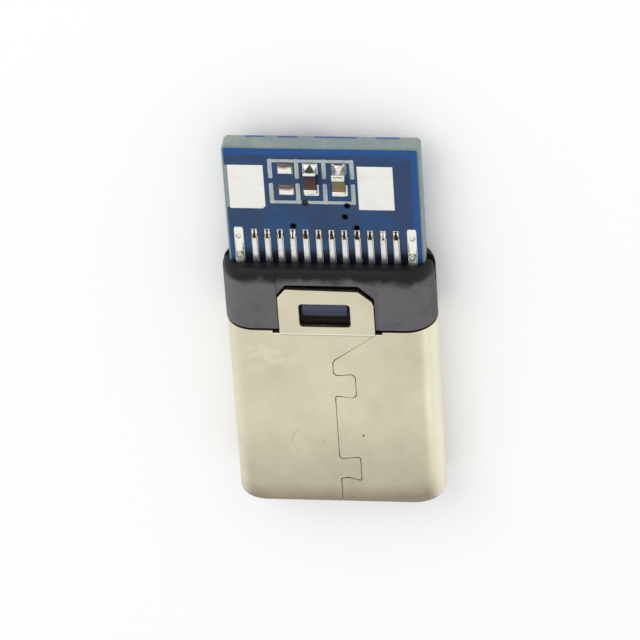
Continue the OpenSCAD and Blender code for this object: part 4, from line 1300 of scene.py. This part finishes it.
def make_camera(look):
    """Camera at the photograph's angle: its three axes and its distance from the plug's middle."""
    data = bpy.data.cameras.new("camera")
    data.sensor_width = 36.0
    data.lens = look.lens / MM
    data.clip_start = 0.01
    camera = bpy.data.objects.new("camera", data)
    place = VIEW_MIDDLE * MM + VIEW_BACK * look.distance
    place += (VIEW_RIGHT * VIEW_OFFSET[0] + VIEW_UP * VIEW_OFFSET[1]) * MM
    axes = np.column_stack([VIEW_RIGHT, VIEW_UP, VIEW_BACK])
    turn = np.eye(4)
    turn[:3, :3] = axes
    turn[:3, 3] = place
    camera.matrix_world = Matrix(turn.tolist())
    bpy.context.scene.collection.objects.link(camera)
    bpy.context.scene.camera = camera


def make_floor():
    """Wide pale floor under the plug's back face."""
    corner = np.array([[-1, -1], [1, -1], [1, 1], [-1, 1]]) * 1500.0
    mesh = bpy.data.meshes.new("floor")
    level = span("shell")[0][2] - 0.001
    points = np.column_stack([corner, np.full(4, level)]) * MM
    mesh.from_pydata(points.tolist(), [], [[0, 1, 2, 3]])
    floor = bpy.data.objects.new("floor", mesh)
    bpy.context.scene.collection.objects.link(floor)
    material = bpy.data.materials.new("pale_floor")
    material.use_nodes = True
    tree = material.node_tree
    shader = tree.nodes["Principled BSDF"]
    shader.inputs["Base Color"].default_value = (0.92, 0.92, 0.92, 1.0)
    shader.inputs["Roughness"].default_value = 0.9
    shader.inputs["Specular IOR Level"].default_value = 0.0
    shader.inputs["Emission Color"].default_value = (1.0, 1.0, 1.0, 1.0)
    path = Value(tree).node("ShaderNodeLightPath", None, None, "Is Camera Ray")
    seen = path * 0.1 + path.output("Is Glossy Ray") * 0.22
    tree.links.new(seen.socket, shader.inputs["Emission Strength"])
    mesh.materials.append(material)


def make_world(look):
    """White background for camera, mirror and glass rays, and even light of the ambient strength for
    all other rays."""
    world = bpy.data.worlds.new("studio")
    world.use_nodes = True
    bpy.context.scene.world = world
    tree = world.node_tree
    tree.nodes.clear()
    path = Value(tree).node("ShaderNodeLightPath", None, None, "Is Camera Ray")
    seen = larger(larger(path, path.output("Is Glossy Ray")), path.output("Is Transmission Ray"))
    strength = seen * (1 - look.ambient) + look.ambient
    light = strength.node("ShaderNodeBackground", None, {"Color": (1.0, 1.0, 1.0, 1.0), "Strength": strength})
    tree.links.new(light.socket, tree.nodes.new("ShaderNodeOutputWorld").inputs["Surface"])


def make_lamp(name, direction, distance, size, power):
    """Square soft lamp in a direction from the plug's middle, turned towards it."""
    data = bpy.data.lights.new(name, "AREA")
    data.size = size * MM
    data.energy = power
    lamp = bpy.data.objects.new(name, data)
    back = np.array(direction, float)
    back /= np.linalg.norm(back)
    side = np.cross([0.0, 1.0, 0.0], back)
    side /= np.linalg.norm(side)
    turn = np.eye(4)
    turn[:3, :3] = np.column_stack([side, np.cross(back, side), back])
    turn[:3, 3] = (VIEW_MIDDLE + back * distance) * MM
    lamp.matrix_world = Matrix(turn.tolist())
    bpy.context.scene.collection.objects.link(lamp)


class PLUG_OT_stage(bpy.types.Operator):
    """Set the camera, the floor, the background and the lamps"""

    bl_idname = "plug.stage"
    bl_label = "Stage"

    def execute(self, context):
        look = context.scene.plug_stage
        context.scene.view_settings.view_transform = "Standard"
        make_camera(look)
        make_floor()
        make_world(look)
        make_lamp("key_lamp", (-0.45, 0.6, 0.66), 260, 170, 0.14)
        make_lamp("side_lamp", (0.8, -0.56, 0.22), 260, 90, 0.013)
        return {"FINISHED"}


class PLUG_PT_sidebar(bpy.types.Panel):
    """Sidebar panel with a button for each part"""

    bl_idname = "PLUG_PT_sidebar"
    bl_label = "Plug"
    bl_space_type = "VIEW_3D"
    bl_region_type = "UI"
    bl_category = "Plug"

    def draw(self, context):
        for operator in OPERATORS:
            self.layout.operator(operator.bl_idname)
        for name in LOOKS:
            look = getattr(context.scene, name)
            box_layout = self.layout.box()
            for value in look.__annotations__:
                box_layout.prop(look, value)


OPERATORS = (PLUG_OT_stage, PLUG_OT_shell, PLUG_OT_housing, PLUG_OT_mouldings, PLUG_OT_springs,
             PLUG_OT_contacts, PLUG_OT_board, PLUG_OT_print, PLUG_OT_lands, PLUG_OT_solder, PLUG_OT_chips)
LOOKS = {"plug_shell": ShellLook, "plug_housing": HousingLook, "plug_board": BoardLook,
         "plug_metal": MetalLook, "plug_chips": ChipLook, "plug_stage": StageLook}


def register():
    """Make the classes known to Blender and hang the looks on the scene."""
    for known in (*LOOKS.values(), *OPERATORS, PLUG_PT_sidebar):
        bpy.utils.register_class(known)
    for name, look in LOOKS.items():
        setattr(bpy.types.Scene, name, bpy.props.PointerProperty(type=look))


def unregister():
    """Take the looks off the scene and the classes out of Blender."""
    for name in LOOKS:
        delattr(bpy.types.Scene, name)
    for known in (PLUG_PT_sidebar, *reversed(OPERATORS), *LOOKS.values()):
        bpy.utils.unregister_class(known)


def main():
    """Make every part in order."""
    register()
    bpy.ops.plug.stage()
    bpy.ops.plug.shell()
    bpy.ops.plug.housing()
    bpy.ops.plug.mouldings()
    bpy.ops.plug.springs()
    bpy.ops.plug.contacts()
    bpy.ops.plug.board()
    bpy.ops.plug.print()
    bpy.ops.plug.lands()
    bpy.ops.plug.solder()
    bpy.ops.plug.chips()


if __name__ == "__main__":
    main()
